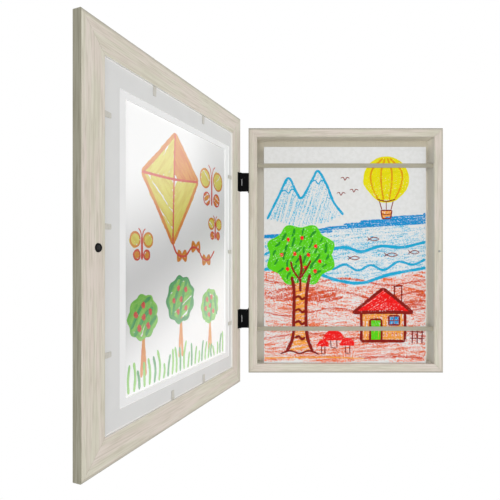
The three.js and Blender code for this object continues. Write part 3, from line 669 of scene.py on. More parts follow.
wax, given, gives = new_group("wax_on_paper", {
    "Vector": "Vector", "Mark": "Vector", "Tint": "Color", "Ground": "Color", "Cover": "Float",
}, {"Color": "Color", "Wax": "Float"})
mark = axes_of(given["Mark"])
grain = noise(given["Vector"], TOOTH_GRAIN, 2.0)
streaks = noise(stroke_place(mark, STREAK_STRETCH), detail=1.0)
patches = noise(given["Vector"], PATCH_STRETCH, 2.0)
loss = times(math_node("POWER", stroke_rim(mark), RIM_POWER), RIM_LOSS_SHARE)
level = math_node("ADD", grain, times(streaks, STREAK_SHARE))
level = math_node("ADD", math_node("SUBTRACT", level, loss), times(patches, PATCH_SHARE))
limit = math_node("SUBTRACT", 1.0, times(given["Cover"], COVER_SHARE))
held = ramp(math_node("SUBTRACT", level, limit), -0.03, 0.05)
deep = dimmed(given["Tint"], DEEP_WAX_SHARE)
laid = mixed(ramp(streaks, 0.45, 0.7, 0.0, 0.4), given["Tint"], deep)
wax.links.new(mixed(held, given["Ground"], laid), gives["Color"])
wax.links.new(held, gives["Wax"])


def wax_crayon(name, tone, cover, under=None):
    """Wax of one colour, with the paper, or the colour under it, in the places that it skips."""
    made, tree, shader = new_material(name, {"Specular IOR Level": 0.3})
    place = object_place(tree)
    mark = add_node(tree, "Attribute", attribute_name="mark").outputs["Vector"]
    ground = use_group(paper, {"Vector": place})
    laid = use_group(wax, {"Vector": place, "Mark": mark, "Tint": tint(tone), "Cover": cover,
                           "Ground": tint(under) if under else ground["Color"]})
    drive(shader, {"Base Color": laid["Color"], "Roughness": ramp(laid["Wax"], 0, 1, 0.9, 0.6),
                   "Normal": bumped(ground["Height"], PAPER_TOOTH_DEPTH)})
    return made


CRAYONS = {
    "sand": ((234, 100, 32), 0.48),
    "pale_water": ((70, 184, 220), 0.36),
    "rust": ((212, 72, 22), 0.66),
    "water": ((20, 166, 210), 0.98),
    "yellow": ((228, 219, 0), 1.04),
    "stripe": ((222, 150, 10), 0.8, (228, 219, 0)),
    "orange": ((240, 158, 60), 0.85),
    "blue": ((0, 140, 204), 0.84),
    "leaf": ((88, 206, 10), 0.97),
    "dark_leaf": ((20, 138, 36), 0.74, (76, 186, 14)),
    "red": ((238, 4, 6), 1.0),
    "brown_red": ((130, 12, 0), 1.1),
}

page = Sketch(sheet_width, sheet_height, CRAYONS, 5)
at = page.at

# ground
ground_edge = [(0.0, 0.42), (0.13, 0.445), (0.28, 0.42), (0.44, 0.375), (0.6, 0.36), (0.78, 0.4), (1.0, 0.43)]
page.fill("sand", [(0, 0.004), (1, 0.004), *reversed(ground_edge)], 3, 0.0055, 0.0085)
page.fill("sand", [(0, 0.16), (1, 0.2), *reversed(ground_edge)], -9, 0.011, 0.007)
furrows = [(0.375, 0.016), (0.315, -0.02), (0.235, 0.018), (0.125, 0.012)]
for start, sway in furrows:
    page.line("rust", [(u / 10, start + sway * math.sin(u * 1.1 + start * 40)) for u in range(11)], 0.0032)
page.fill("rust", [(0.0, 0.33), (0.3, 0.36), (0.5, 0.3), (0.3, 0.28), (0.0, 0.3)], 12, 0.006, 0.006)
page.fill("rust", [(0.62, 0.25), (1.0, 0.32), (1.0, 0.27), (0.8, 0.22)], 6, 0.006, 0.006)
page.line("rust", [(0.3, 0.03), (0.55, 0.022), (0.8, 0.03), (0.98, 0.022)], 0.004)
page.line("orange", [(0.0, 0.022), (0.35, 0.026), (0.62, 0.02)], 0.0022)

# lake
shore = [(0.0, 0.575), (0.3, 0.6), (0.6, 0.622), (0.85, 0.632), (1.0, 0.64)]
page.fill("pale_water", [*ground_edge, *reversed(shore)], 5, 0.006, 0.0075)
page.fill("blue", [*shore, (1.0, 0.69), (0.7, 0.665), (0.4, 0.628), (0.0, 0.592)], 4, 0.0026, 0.0032)
page.lines("water", [
    (0.0044, (0.0, 0.43), (0.13, 0.458), (0.28, 0.43), (0.44, 0.385), (0.6, 0.37), (0.78, 0.41), (1.0, 0.44)),
    (0.0034, (0.42, 0.43), (0.5, 0.455), (0.58, 0.428), (0.66, 0.452), (0.74, 0.43), (0.83, 0.468),
     (0.92, 0.455), (1.0, 0.48)),
    (0.0042, (0.38, 0.52), (0.5, 0.535), (0.6, 0.515), (0.72, 0.54), (0.85, 0.535), (1.0, 0.56)),
    (0.0036, (0.0, 0.5), (0.05, 0.515), (0.09, 0.5)),
])
fish = [(0.56, 0.485, 0.03), (0.79, 0.5, 0.034), (0.93, 0.512, 0.028), (0.68, 0.573, 0.03)]
for u, v, reach in fish:
    page.line("brown_red", [(u - reach * 1.4, v + 0.011), (u - reach, v), (u, v - 0.008), (u + reach, v),
                            (u, v + 0.009), (u - reach, v), (u - reach * 1.4, v - 0.01)], 0.0011)
    page.dab("brown_red", at(u + reach * 0.5, v + 0.001), 0.0012)

# mountains
ridge = [(0.02, 0.665), (0.09, 0.77), (0.15, 0.855), (0.2, 0.79), (0.235, 0.765), (0.3, 0.85), (0.335, 0.888),
         (0.39, 0.82), (0.43, 0.745), (0.49, 0.685)]
page.fill("pale_water", [*ridge, (0.4, 0.652), (0.2, 0.628)], 72, 0.0042, 0.0036)
page.lines("water", [
    (0.0034, *ridge),
    (0.0018, (0.108, 0.79), (0.13, 0.8), (0.15, 0.785), (0.17, 0.803), (0.192, 0.8)),
    (0.0018, (0.293, 0.835), (0.315, 0.846), (0.335, 0.828), (0.355, 0.845), (0.378, 0.838)),
])
birds = [(0.5, 0.845), (0.555, 0.79), (0.475, 0.775)]
for u, v in birds:
    page.line("brown_red", [(u - 0.026, v + 0.01), (u - 0.01, v + 0.014), (u, v), (u + 0.012, v + 0.014),
                            (u + 0.028, v + 0.009)], 0.0012)

# balloon
crown = at(0.755, 0.85)
envelope = [*ellipse(crown, 0.031, 0.031, -35, 215, 14), at(0.71, 0.752), at(0.8, 0.752)]
page.hatch("yellow", envelope, 78, 0.0022, 0.0032)
page.hatch("yellow", envelope, 20, 0.005, 0.0026)
page.loop("yellow", envelope, 0.0026)
seams = (-0.0205, -0.007, 0.0075, 0.021)
for reach in seams:
    bowed = [(reach * 0.25, 0.0295), (reach, 0.012), (reach, -0.008), (reach * 0.55, -0.0295)]
    page.stroke("stripe", [crown + Vector((x, y, 0)) for x, y in bowed], 0.0026)
page.lines("brown_red", [
    (0.0016, (0.7, 0.757), (0.755, 0.748), (0.81, 0.757)),
    (0.0013, (0.712, 0.75), (0.728, 0.708)),
    (0.001, (0.755, 0.748), (0.755, 0.708)),
    (0.0013, (0.798, 0.75), (0.784, 0.708)),
])
basket = [at(0.722, 0.706), at(0.79, 0.706), at(0.782, 0.668), at(0.73, 0.668)]
page.hatch("orange", basket, 4, 0.002, 0.0026)
page.sides("brown_red", basket, 0.0017)
page.line("brown_red", [(0.727, 0.69), (0.755, 0.687), (0.786, 0.69)], 0.0014)

# tree
trunk = [at(0.155, 0.055), at(0.29, 0.055), at(0.258, 0.2), at(0.262, 0.375), at(0.19, 0.375), at(0.182, 0.2)]
page.hatch("orange", trunk, 12, 0.0045, 0.0036)
heart = at(0.228, 0.5)
leaves = cloudy(heart, 0.042, 0.037, 8, 0.17)
page.hatch("leaf", leaves, 62, 0.0027, 0.0038)
page.hatch("leaf", leaves, 28, 0.008, 0.003)
for ring in range(3):
    for spot in ellipse(heart, 0.014 * ring + 0.009, 0.0125 * ring + 0.008, 20 * ring, 360 + 20 * ring,
                        6 + 5 * ring):
        lean = page.draw.uniform(0.5, 1.5)
        reach = Vector((math.cos(lean), math.sin(lean), 0)) * page.draw.uniform(0.004, 0.0075)
        bend = Vector((page.draw.uniform(-0.0015, 0.0015), 0, 0))
        page.stroke("dark_leaf", [spot - reach, spot + bend, spot + reach], page.draw.uniform(0.0024, 0.004))
page.loop("leaf", leaves, 0.0034)
page.lines("brown_red", [
    (0.0046, (0.14, 0.05), (0.178, 0.12), (0.184, 0.22), (0.186, 0.33), (0.172, 0.4)),
    (0.0046, (0.302, 0.048), (0.268, 0.12), (0.259, 0.22), (0.264, 0.33), (0.284, 0.41)),
    (0.0036, (0.225, 0.33), (0.224, 0.39), (0.232, 0.44), (0.222, 0.5)),
    (0.0028, (0.224, 0.39), (0.265, 0.44), (0.29, 0.475)),
    (0.0028, (0.224, 0.38), (0.18, 0.43), (0.165, 0.47)),
])
bark_rings = (0.115, 0.185, 0.24, 0.3)
for v in bark_rings:
    page.line("brown_red", [(0.19, v), (0.215, v + 0.008), (0.235, v - 0.006), (0.255, v + 0.004)], 0.0036)
page.line("brown_red", [(0.1, 0.042), (0.16, 0.056), (0.22, 0.044), (0.28, 0.056), (0.34, 0.04)], 0.0024)
apples = [(0.15, 0.57), (0.235, 0.578), (0.32, 0.54), (0.11, 0.5), (0.19, 0.505), (0.275, 0.5),
          (0.345, 0.47), (0.145, 0.435), (0.255, 0.44), (0.315, 0.425)]
for u, v in apples:
    page.hatch("red", ellipse(at(u, v), 0.0027, 0.0029, count=8), 30, 0.0014, 0.0019)

# house
walls = [at(0.6, 0.1), at(0.87, 0.1), at(0.87, 0.235), at(0.6, 0.235)]
page.hatch("orange", walls, 88, 0.0042, 0.003)
page.hatch("orange", walls, 3, 0.009, 0.0024)
roof = [at(0.55, 0.232), at(0.92, 0.232), at(0.735, 0.345)]
page.hatch("red", roof, 32, 0.0027, 0.0033)
page.hatch("red", roof, -24, 0.0075, 0.0024)
door_hole = [at(0.655, 0.1), at(0.725, 0.1), at(0.725, 0.2), at(0.655, 0.2)]
page.hatch("leaf", door_hole, 84, 0.0024, 0.0028)
window_hole = [at(0.77, 0.175), at(0.835, 0.175), at(0.835, 0.217), at(0.77, 0.217)]
page.hatch("blue", window_hole, 5, 0.0022, 0.0025)
for shape, width in ((walls, 0.004), (roof, 0.0044), (door_hole, 0.003), (window_hole, 0.0024)):
    page.sides("brown_red", shape, width, HOUSE_BOW)
page.lines("brown_red", [
    (0.0012, (0.802, 0.175), (0.803, 0.217)),
    (0.0012, (0.77, 0.196), (0.835, 0.197)),
    (0.0019, (0.805, 0.305), (0.805, 0.355)),
    (0.0019, (0.85, 0.277), (0.85, 0.355)),
    (0.0021, (0.797, 0.355), (0.858, 0.356)),
])

# mushrooms and a fence
mushrooms = ((0.43, 0.09, 0.0135), (0.515, 0.065, 0.0095), (0.365, 0.062, 0.0075))
for u, v, reach in mushrooms:
    heart = at(u, v + 0.018)
    cap = ellipse(heart, reach, reach * 0.95, 0, 180, 9) + [heart + Vector((-reach, 0, 0))]
    page.hatch("red", cap, 14, 0.0021, 0.0027)
    page.loop("red", cap, 0.0018)
    stem = reach / sheet_width * 0.32
    page.line("brown_red", [(u - stem, v + 0.016), (u - stem * 0.8, v - 0.02)], 0.0014)
    page.line("brown_red", [(u + stem, v + 0.016), (u + stem * 1.1, v - 0.02)], 0.0014)
    page.line("brown_red", [(u - stem, v - 0.02), (u + stem * 1.1, v - 0.021)], 0.0014)
fence_posts = (0.915, 0.945, 0.975)
fence_boards = (0.145, 0.115)
for u in fence_posts:
    page.line("brown_red", [(u, 0.09), (u + 0.002, 0.165)], 0.002)
for v in fence_boards:
    page.line("brown_red", [(0.9, v), (0.99, v - 0.003)], 0.0016)

stood_up = Matrix.Rotation(math.radians(90), 4, "X")
top_low, top_high = node_box("top_drawing")
sheet_face = Matrix.Translation((0, top_low.y, (top_low.z + top_high.z) / 2)) @ stood_up
crayons = {colour: wax_crayon(f"crayon_{colour}", *look) for colour, look in CRAYONS.items()}
page.lay("crayon", crayons, sheet_face, "box")


# Straps
# Two flat woven elastic straps cross the box in front of the pile and hold it back. Their ends are glued into
# pockets in the side walls.
STRAP_TONE = (176, 171, 154)
STRAP_SHADE = (162, 157, 140)
STRAP_EDGE_ROUND = 0.0003
RIB_COUNT_PER_METRE = 1000.0
WARP_COUNT_PER_METRE = 1400.0
STRAP_WEAR_STRETCH = (40.0, 1.0, 400.0)
WEAVE_DEPTH = 0.0001

elastic, tree, shader = new_material("woven_elastic", {"Roughness": 0.85, "Sheen Weight": 0.15,
                                                       "Specular IOR Level": 0.25})
place = object_place(tree)
axes = axes_of(place)
ribs = math_node("SINE", times(axes["X"], RIB_COUNT_PER_METRE * math.tau))
warps = math_node("SINE", times(axes["Z"], WARP_COUNT_PER_METRE * math.tau))
weave = ramp(times(ribs, warps), -1.0, 1.0)
wear = noise(place, STRAP_WEAR_STRETCH)
colour = mixed(ramp(weave, 0.0, 1.0, 0.4, 0.0), tint(STRAP_TONE), tint(STRAP_SHADE))
colour = mixed(ramp(wear, 0.5, 0.7, 0.0, 0.35), colour, tint(STRAP_SHADE))
drive(shader, {"Base Color": colour, "Normal": bumped(weave, WEAVE_DEPTH)})

for node_name in ("upper_strap", "lower_strap"):
    low, high = node_box(node_name)
    band = bmesh.new()
    shape = Matrix.Translation((low + high) / 2) @ Matrix.Diagonal((*(high - low), 1))
    bmesh.ops.create_cube(band, size=1.0, matrix=shape)
    bmesh.ops.bevel(band, geom=band.edges[:], offset=STRAP_EDGE_ROUND, segments=2, affect="EDGES",
                    profile=0.5, material=-1)
    strap = make_piece(node_name + "_webbing", band, elastic, "box", 40)
    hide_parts(node_name)


# Hangers, nails and catch
# Stamped zinc-plated sawtooth hangers at the top for the upright position and at one side for the sideways
# one, each held by two round-headed nails. The back panel's pins and the catch in the rim are steel as well.
ZINC = (168, 168, 165)
ZINC_DULL = (122, 122, 118)
BRUSH_STRETCH = (90.0, 900.0, 2400.0)
ZINC_BLOOM = 220.0
BRUSH_DEPTH = 0.00002
HEAD_STEPS = 32
NAIL_SHANK = 0.0006
NAIL_HEAD_SHARE = 0.375
HEAD_EDGE_SHARE = 0.35

worn, given, gives = new_group("worn_patches", {
    "Vector": "Vector", "Spread": "Vector", "Detail": "Float", "Tone": "Color", "Worn": "Color",
    "From": "Float", "To": "Float", "Share": "Float",
}, {"Color": "Color", "Patches": "Float"})
patches = noise(given["Vector"], given["Spread"], given["Detail"])
share = ramp(patches, given["From"], given["To"], 0.0, given["Share"])
worn.links.new(mixed(share, given["Tone"], given["Worn"]), gives["Color"])
worn.links.new(patches, gives["Patches"])


def worn_finish(tree, tone, worn_tone, spread, low, high, share=1.0, detail=4.0):
    """A plain tone with patches of its worn tone."""
    return use_group(worn, {"Vector": object_place(tree), "Spread": even(spread), "Detail": detail,
                            "Tone": tint(tone), "Worn": tint(worn_tone), "From": low, "To": high,
                            "Share": share})


zinc, tree, shader = new_material("zinc_plate", {"Metallic": 1.0})
finish = worn_finish(tree, ZINC, ZINC_DULL, ZINC_BLOOM, 0.42, 0.7, share=0.7)
brushing = noise(object_place(tree), BRUSH_STRETCH)
drive(shader, {"Base Color": finish["Color"], "Roughness": ramp(brushing, 0.3, 0.7, 0.28, 0.5),
               "Normal": bumped(brushing, BRUSH_DEPTH)})
coat(["hanger_top", "hanger_side"], zinc)


def turn(bm, profile, foot, axis, steps):
    """Spins a profile of (radius, height) pairs, from the axis back to the axis, into a round piece."""
    axis = Vector(axis).normalized()
    side = axis.orthogonal().normalized()
    verts = [bm.verts.new(Vector(foot) + side * radius + axis * height) for radius, height in profile]
    edges = [bm.edges.new(pair) for pair in zip(verts, verts[1:])]
    bmesh.ops.spin(bm, geom=verts + edges, cent=foot, axis=axis, angle=math.tau, steps=steps, use_merge=True)
    bmesh.ops.remove_doubles(bm, verts=bm.verts, dist=1e-7)
    bmesh.ops.recalc_face_normals(bm, faces=bm.faces)


def dome(radius, height, base=0.0, first=0, step=15):
    """A profile that curves up from the rim, which stands at base, to the top, at height."""
    turns = [math.radians(a) for a in range(first, 91, step)]
    return [(radius * math.cos(a), base + (height - base) * math.sin(a)) for a in turns]


def front_centre(low, high, depth):
    """The middle of a box as seen from the front, at a depth of its own."""
    return Vector(((low.x + high.x) / 2, depth, (low.z + high.z) / 2))


def domed_nail(radius, head_height, length, foot, axis):
    """A nail with a domed head: foot is under the middle of the head, and axis points out of the wood."""
    bm = bmesh.new()
    head = dome(radius, head_height, head_height * HEAD_EDGE_SHARE)
    profile = [(0, -length), (NAIL_SHANK, NAIL_SHANK - length), (NAIL_SHANK, 0), (radius, 0), *head]
    turn(bm, profile, foot, axis, HEAD_STEPS)
    return bm


for node_name in [f"{kind}_{i}" for kind in ("hanger_nail", "back_panel_pin") for i in (1, 2, 3, 4)]:
    low, high = node_box(node_name)
    radius = (high.x - low.x) / 2
    head_height = radius * NAIL_HEAD_SHARE
    nail_mesh = domed_nail(radius, head_height, high.y - low.y - head_height,
                           front_centre(low, high, high.y - head_height), (0, 1, 0))
    nail = make_piece(node_name + "_domed", nail_mesh, zinc, "box", 40)
    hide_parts(node_name)

low, high = node_box("catch_pin")
catch_mesh = domed_nail((high.x - low.x) / 2, box_front - low.y, high.y - box_front,
                        front_centre(low, high, box_front), (0, -1, 0))
catch = make_piece("catch_pin_domed", catch_mesh, zinc, "box", 40)
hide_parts("catch_pin")


# Wall bumpers
# Two domes of soft grey rubber, stuck on the lower corners of the back. They stand about as far off it as the
# hanger at the top, so that the box hangs parallel to the wall.
RUBBER = (168, 168, 165)
RUBBER_DUST = (190, 188, 182)
DUST_SPREAD = 700.0
DUST_DEPTH = 0.00004

rubber, tree, shader = new_material("soft_rubber", {"Roughness": 0.55, "Specular IOR Level": 0.35})
finish = worn_finish(tree, RUBBER, RUBBER_DUST, DUST_SPREAD, 0.45, 0.7)
drive(shader, {"Base Color": finish["Color"], "Normal": bumped(finish["Patches"], DUST_DEPTH)})
for node_name in ("wall_bumper_1", "wall_bumper_2"):
    low, high = node_box(node_name)
    radius = (high.x - low.x) / 2
    dome_mesh = bmesh.new()
    turn(dome_mesh, [(0, 0), (radius, 0), *dome(radius, high.y - low.y, first=10, step=10)],
         front_centre(low, high, low.y), (0, 1, 0), HEAD_STEPS)
    bumper = make_piece(node_name + "_dome", dome_mesh, rubber, "box", 50)
    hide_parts(node_name)


# Glass and clear cover
# A pane of float glass lies behind the moulding's lip, and a clear stiff film covers the inner side of the
# drawing. Both let the lamps through to the paper.
GLASS_TONE = (0.97, 0.99, 0.98, 1)
COVER_TONE = (0.99, 0.99, 0.99, 1)
COVER_SMEAR = even(30.0)


def clear_sheet(name, plain):
    """A see-through material that lets light pass to what lies behind it, without a shadow."""
    made, tree, shader = new_material(name, {**plain, "Transmission Weight": 1.0})
    out = next(node for node in tree.nodes if node.type == "OUTPUT_MATERIAL")
    path = add_node(tree, "LightPath").outputs
    passing = math_node("MAXIMUM", path["Is Shadow Ray"], path["Is Diffuse Ray"])
    open_air = add_node(tree, "BsdfTransparent").outputs[0]
    both = fed_node("MixShader", {0: passing, 1: shader.outputs[0], 2: open_air}).outputs[0]
    tree.links.new(both, out.inputs["Surface"])
    return made, tree, shader


pane, tree, shader = clear_sheet("float_glass", {"Roughness": 0.0, "IOR": 1.5, "Base Color": GLASS_TONE})
coat(["glass_pane"], pane)
cover, tree, shader = clear_sheet("clear_film", {"IOR": 1.05, "Base Color": COVER_TONE})
smear = noise(object_place(tree), COVER_SMEAR)
drive(shader, {"Roughness": ramp(smear, 0.3, 0.7, 0.02, 0.06)})
coat(["clear_cover"], cover)


# Mats
# Card with a fine tooth. The glazed side has a white window mat with a bevel-cut window. The inner side has a
# paler mat, whose window reaches down to the drawing, and a greyer one over it, both cut with a slight bevel.
FRONT_MAT_TONE = (236, 236, 234)
INNER_MAT_TONE = (235, 235, 235)
OUTER_MAT_TONE = (217, 217, 216)
CORE_AND_PAINTED_LIGHT_TONE = (255, 255, 254)
CORE_MARGIN = 0.00005
CARD_RIM_LIGHT_REACH = 0.0016
MAT_FLECK_SHARE = 0.96
CARD_TOOTH = even(1500.0)
CARD_MOTTLE = even(35.0)
CARD_TOOTH_DEPTH = 0.00004
FRONT_WINDOW = (0.1996, 0.2658)
WINDOW_BEVEL = 0.0009
INNER_WINDOW = (0.1994, 0.2656)
OUTER_WINDOW = (0.217, 0.2776)
BACK_CENTRE = (-0.0066, -0.0015)
BACK_BEVEL = 0.0005
CARD_EDGE_GAP = 0.00001
CARD_FACE_GAP = 0.00001
CARD_INSET = 0.01


def mat_card(name, tone, front, back):
    """Mat card, its cut core lifted to full white and a band along its rim paler, both as painted light."""
    made, tree, shader = new_material(name, {"Roughness": 0.88, "Specular IOR Level": 0.25})
    place = shut_place(tree)
    tooth = noise(place, CARD_TOOTH)
    mottle = noise(place, CARD_MOTTLE)
    plain = tint(tone)
    fleck = darker(plain, MAT_FLECK_SHARE)
    colour = mixed(ramp(mottle, 0.35, 0.7, 0.0, 0.6), plain, fleck)
    colour = mixed(ramp(tooth, 0.55, 0.75, 0.0, 0.6), colour, fleck)
    axes = axes_of(place)
    in_core = near_value(axes["Y"], (front + back) / 2, (back - front) / 2 - CORE_MARGIN)
    # The core is white, as mat cores are, and lifted to full white as painted light against the cut edges'
    # shade.
    colour = mixed(in_core, colour, tint(CORE_AND_PAINTED_LIGHT_TONE))
    inwards = math_node("MINIMUM", from_rim(axes["X"], opening_width), from_rim(axes["Z"], opening_height))
    # Painted light: a band along the rim, next to the moulding, is paler, against the moulding's shade.
    colour = mixed(ramp(inwards, CARD_RIM_LIGHT_REACH / 2, CARD_RIM_LIGHT_REACH, 0.4, 0.0), colour, tint(CORE_AND_PAINTED_LIGHT_TONE))
    drive(shader, {"Base Color": colour, "Normal": bumped(tooth, CARD_TOOTH_DEPTH)})
    return made


def window_card(name, depths, outer, windows, centre, material):
    """A flat card with a window, whose size is given on the front and on the back."""
    bm = bmesh.new()
    flat = Matrix.Translation((0, depths[0], 0)) @ Matrix.Diagonal((outer[0], 1, outer[1], 1))
    bmesh.ops.create_grid(bm, x_segments=1, y_segments=1, size=0.5, matrix=flat @ stood_up)
    opening = bm.faces[:]
    rim = bmesh.ops.inset_individual(bm, faces=opening, thickness=CARD_INSET, use_even_offset=True)["faces"]
    corners = opening[0].verts[:]
    wide, high = (window / (side - 2 * CARD_INSET) for window, side in zip(windows[0], outer))
    bmesh.ops.scale(bm, vec=(wide, 1, high), verts=corners)
    bmesh.ops.translate(bm, vec=(centre[0], 0, centre[1]), verts=corners)
    bmesh.ops.delete(bm, geom=opening, context="FACES_ONLY")
    grown = bmesh.ops.extrude_face_region(bm, geom=rim)["geom"]
    back = [part for part in grown if isinstance(part, bmesh.types.BMVert)]
    bmesh.ops.translate(bm, vec=(0, depths[1] - depths[0], 0), verts=back)
    inner = [vert for vert in back if abs(vert.co.x) < outer[0] / 2 - CARD_INSET / 2]
    wide, high = (window / first for window, first in zip(windows[1], windows[0]))
    bmesh.ops.scale(bm, vec=(wide, 1, high), verts=inner,
                    space=Matrix.Translation((-centre[0], 0, -centre[1])))
    bmesh.ops.recalc_face_normals(bm, faces=bm.faces)
    bmesh.ops.transform(bm, matrix=door_place, verts=bm.verts)
    return make_piece(name, bm, material, "door")


def wider(window, bevel):
    return tuple(side + 2 * bevel for side in window)


low, high = closed_box("front_mat")
front_card = window_card("front_card", (low.y, high.y), (high.x - low.x, high.z - low.z),
                         (wider(FRONT_WINDOW, WINDOW_BEVEL), FRONT_WINDOW), (0, 0),
                         mat_card("white_mat_card", FRONT_MAT_TONE, low.y, high.y))
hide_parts("front_mat")
card_size = (opening_width - 2 * CARD_EDGE_GAP, opening_height - 2 * CARD_EDGE_GAP)
outer_depths = tuple(corner.y for corner in closed_box("outer_back_mat"))
sheet_low, sheet_high = closed_box("door_drawing")
inner_depths = (sheet_high.y + CARD_FACE_GAP, outer_depths[0] - CARD_FACE_GAP)
inner_card = window_card("inner_card", inner_depths, card_size,
                         (INNER_WINDOW, wider(INNER_WINDOW, BACK_BEVEL)), BACK_CENTRE,
                         mat_card("pale_mat_card", INNER_MAT_TONE, *inner_depths))
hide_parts("inner_back_mat")
outer_card = window_card("outer_card", outer_depths, card_size,
                         (OUTER_WINDOW, wider(OUTER_WINDOW, BACK_BEVEL)), BACK_CENTRE,
                         mat_card("grey_mat_card", OUTER_MAT_TONE, *outer_depths))
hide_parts("outer_back_mat")


# Watercolour on the door's sheet
# A watercolour of a kite and butterflies over three fruit trees and grass, in soft wet strokes that have
# dried darker at their edges. The clear cover's grey sheen is painted into the paper's tone on its side.
SHEEN_DARK = (198, 198, 198)
SHEEN_PALE = (255, 255, 255)
BAND_START = 0.25
BAND_SLOPE = 1.6
BAND_REACH = 0.42
BAND_FAR = 0.055
BAND_NEAR = 0.145
BAND_EDGE = -0.02
BAND_FAR_SHARE = 0.45
POOL_STRETCH = (45.0, 1.3)
POOL_SHARE = 0.75
DRIED_SHARE = 0.45
SHEEN_FADE_SHARE = 0.3
KITE_BOW = (0.0008, 0, 0)

# The sheen is greyest in a band that starts a quarter down the window at the hinges and slopes down towards
# the free stile. It fades below and above the band, less so above it near the hinges.
picture_top = BACK_CENTRE[1] + INNER_WINDOW[1] / 2
sheen, given, gives = new_group("cover_sheen", {"Vector": "Vector"}, {"Color": "Color", "Share": "Float"})
axes = axes_of(given["Vector"])
reach = math_node("SUBTRACT", axes["X"], pivot.x)
down = math_node("DIVIDE", math_node("SUBTRACT", picture_top, axes["Z"]), INNER_WINDOW[1])
band = math_node("ADD", times(reach, BAND_SLOPE), BAND_START)
below = math_node("SUBTRACT", down, band)
under = ramp(below, BAND_EDGE, BAND_REACH)
over = ramp(times(below, -1.0), BAND_EDGE, BAND_REACH)
over = times(over, ramp(reach, BAND_FAR, BAND_NEAR, BAND_FAR_SHARE, 1.0))
share = math_node("MAXIMUM", under, over)
covered_side = math_node("GREATER_THAN", axes["Y"], (sheet_low.y + sheet_high.y) / 2)
ground = mixed(share, tint(SHEEN_DARK), tint(SHEEN_PALE))
sheen.links.new(mixed(covered_side, tint(PAPER_TONE), ground), gives["Color"])
sheen.links.new(times(share, covered_side), gives["Share"])


def paper_bump(place):
    return bumped(use_group(paper, {"Vector": place})["Height"], PAPER_TOOTH_DEPTH)


picture_paper, tree, shader = new_material("picture_paper", {"Roughness": 0.9, "Specular IOR Level": 0.15})
place = shut_place(tree)
toned = use_group(sheen, {"Vector": place})
drive(shader, {"Base Color": toned["Color"], "Normal": paper_bump(place)})
coat(["door_drawing"], picture_paper)

wet, given, gives = new_group("watercolour", {
    "Mark": "Vector", "Tint": "Color", "Deep": "Color", "Ground": "Color", "Share": "Float",
}, {"Color": "Color"})
mark = axes_of(given["Mark"])
pools = ramp(noise(stroke_place(mark, POOL_STRETCH), detail=2.0), 0.35, 0.68)
dried = times(ramp(stroke_rim(mark), 0.62, 1.0), DRIED_SHARE)
deepened = math_node("MAXIMUM", times(pools, POOL_SHARE), dried)
stain = mixed(deepened, given["Tint"], given["Deep"])
faded = mixed(times(given["Share"], SHEEN_FADE_SHARE), stain, (1, 1, 1, 1))
over_paper = fed_node("VectorMath", {0: faded, 1: given["Ground"]}, operation="MULTIPLY").outputs[0]
wet.links.new(over_paper, gives["Color"])


def watercolour(name, tone, deep):
    """Wet paint of one colour, deeper where it pools and dries, and greyed by the sheen with its paper."""
    made, tree, shader = new_material(name, {"Roughness": 0.88, "Specular IOR Level": 0.15})
    place = shut_place(tree)
    mark = add_node(tree, "Attribute", attribute_name="mark").outputs["Vector"]
    ground = use_group(sheen, {"Vector": place})
    stain = use_group(wet, {"Mark": mark, "Tint": tint(tone), "Deep": tint(deep),
                            "Ground": ground["Color"], "Share": ground["Share"]})
    drive(shader, {"Base Color": stain["Color"], "Normal": paper_bump(place)})
    return made


PAINTS = {
    "yellow": ((240, 230, 108), (228, 204, 76)),
    "orange": ((238, 164, 66), (226, 112, 52)),
    "leaf": ((156, 222, 100), (100, 190, 78)),
    "green": ((98, 186, 106), (56, 148, 90)),
    "red": ((236, 100, 80), (212, 66, 58)),
}

picture = Sketch(sheet_width, sheet_height, PAINTS, 9)
at = picture.at

# kite
top, left, bottom, right = at(0.45, 0.9), at(0.2, 0.735), at(0.43, 0.515), at(0.66, 0.755)
middle = at(0.44, 0.74)
picture.hatch("yellow", [top, left, middle], 52, 0.0058, 0.0072)
picture.hatch("yellow", [bottom, right, middle], 52, 0.0058, 0.0072)
picture.hatch("orange", [top, right, middle], -38, 0.0048, 0.0066)
picture.hatch("yellow", [left, bottom, middle], -38, 0.0062, 0.0074)
picture.sides("orange", [top, left, bottom, right], 0.0046, KITE_BOW)
for start, stop in ((top, bottom), (left, right)):
    picture.stroke("red", [start, middle, stop], 0.0026)
picture.line("red", [(0.43, 0.515), (0.47, 0.48), (0.54, 0.475), (0.6, 0.505), (0.66, 0.5), (0.71, 0.465),
                     (0.78, 0.46), (0.84, 0.495)], 0.0024)
tail_bows = ((0.51, 0.473), (0.64, 0.507), (0.75, 0.457))
for u, v in tail_bows:
    for side in (-1, 1):
        wing = [(u, v), (u + side * 0.03, v + 0.018), (u + side * 0.034, v - 0.014), (u, v)]
        picture.line("orange", wing, 0.0042)

# butterflies
butterflies = ((0.81, 0.74, 1.0), (0.85, 0.58, 0.6), (0.2, 0.5, 0.6))
for u, v, size in butterflies:
    heart = at(u, v)
    for side in (-1, 1):
        middle = heart + Vector((side * 0.0165, 0.0125, 0)) * size
        wing = ellipse(middle, 0.012 * size, 0.011 * size, count=10)
        picture.hatch("yellow", wing, 35 * side, 0.0048, 0.0056)
        picture.loop("orange", wing, 0.0022)
        middle = heart + Vector((side * 0.0125, -0.0115, 0)) * size
        small = ellipse(middle, 0.008 * size, 0.0075 * size, count=8)
        picture.hatch("orange", small, -30 * side, 0.0048, 0.0048)
        picture.loop("red", small, 0.0018)
        feeler = [(0.001, 0.018), (0.004, 0.026), (0.009, 0.03)]
        picture.stroke("red", [heart + Vector((x * side, y, 0)) * size for x, y in feeler], 0.0014)
    picture.stroke("red", [heart + Vector((0, reach * size, 0)) for reach in (0.019, 0.0, -0.019)], 0.0032)

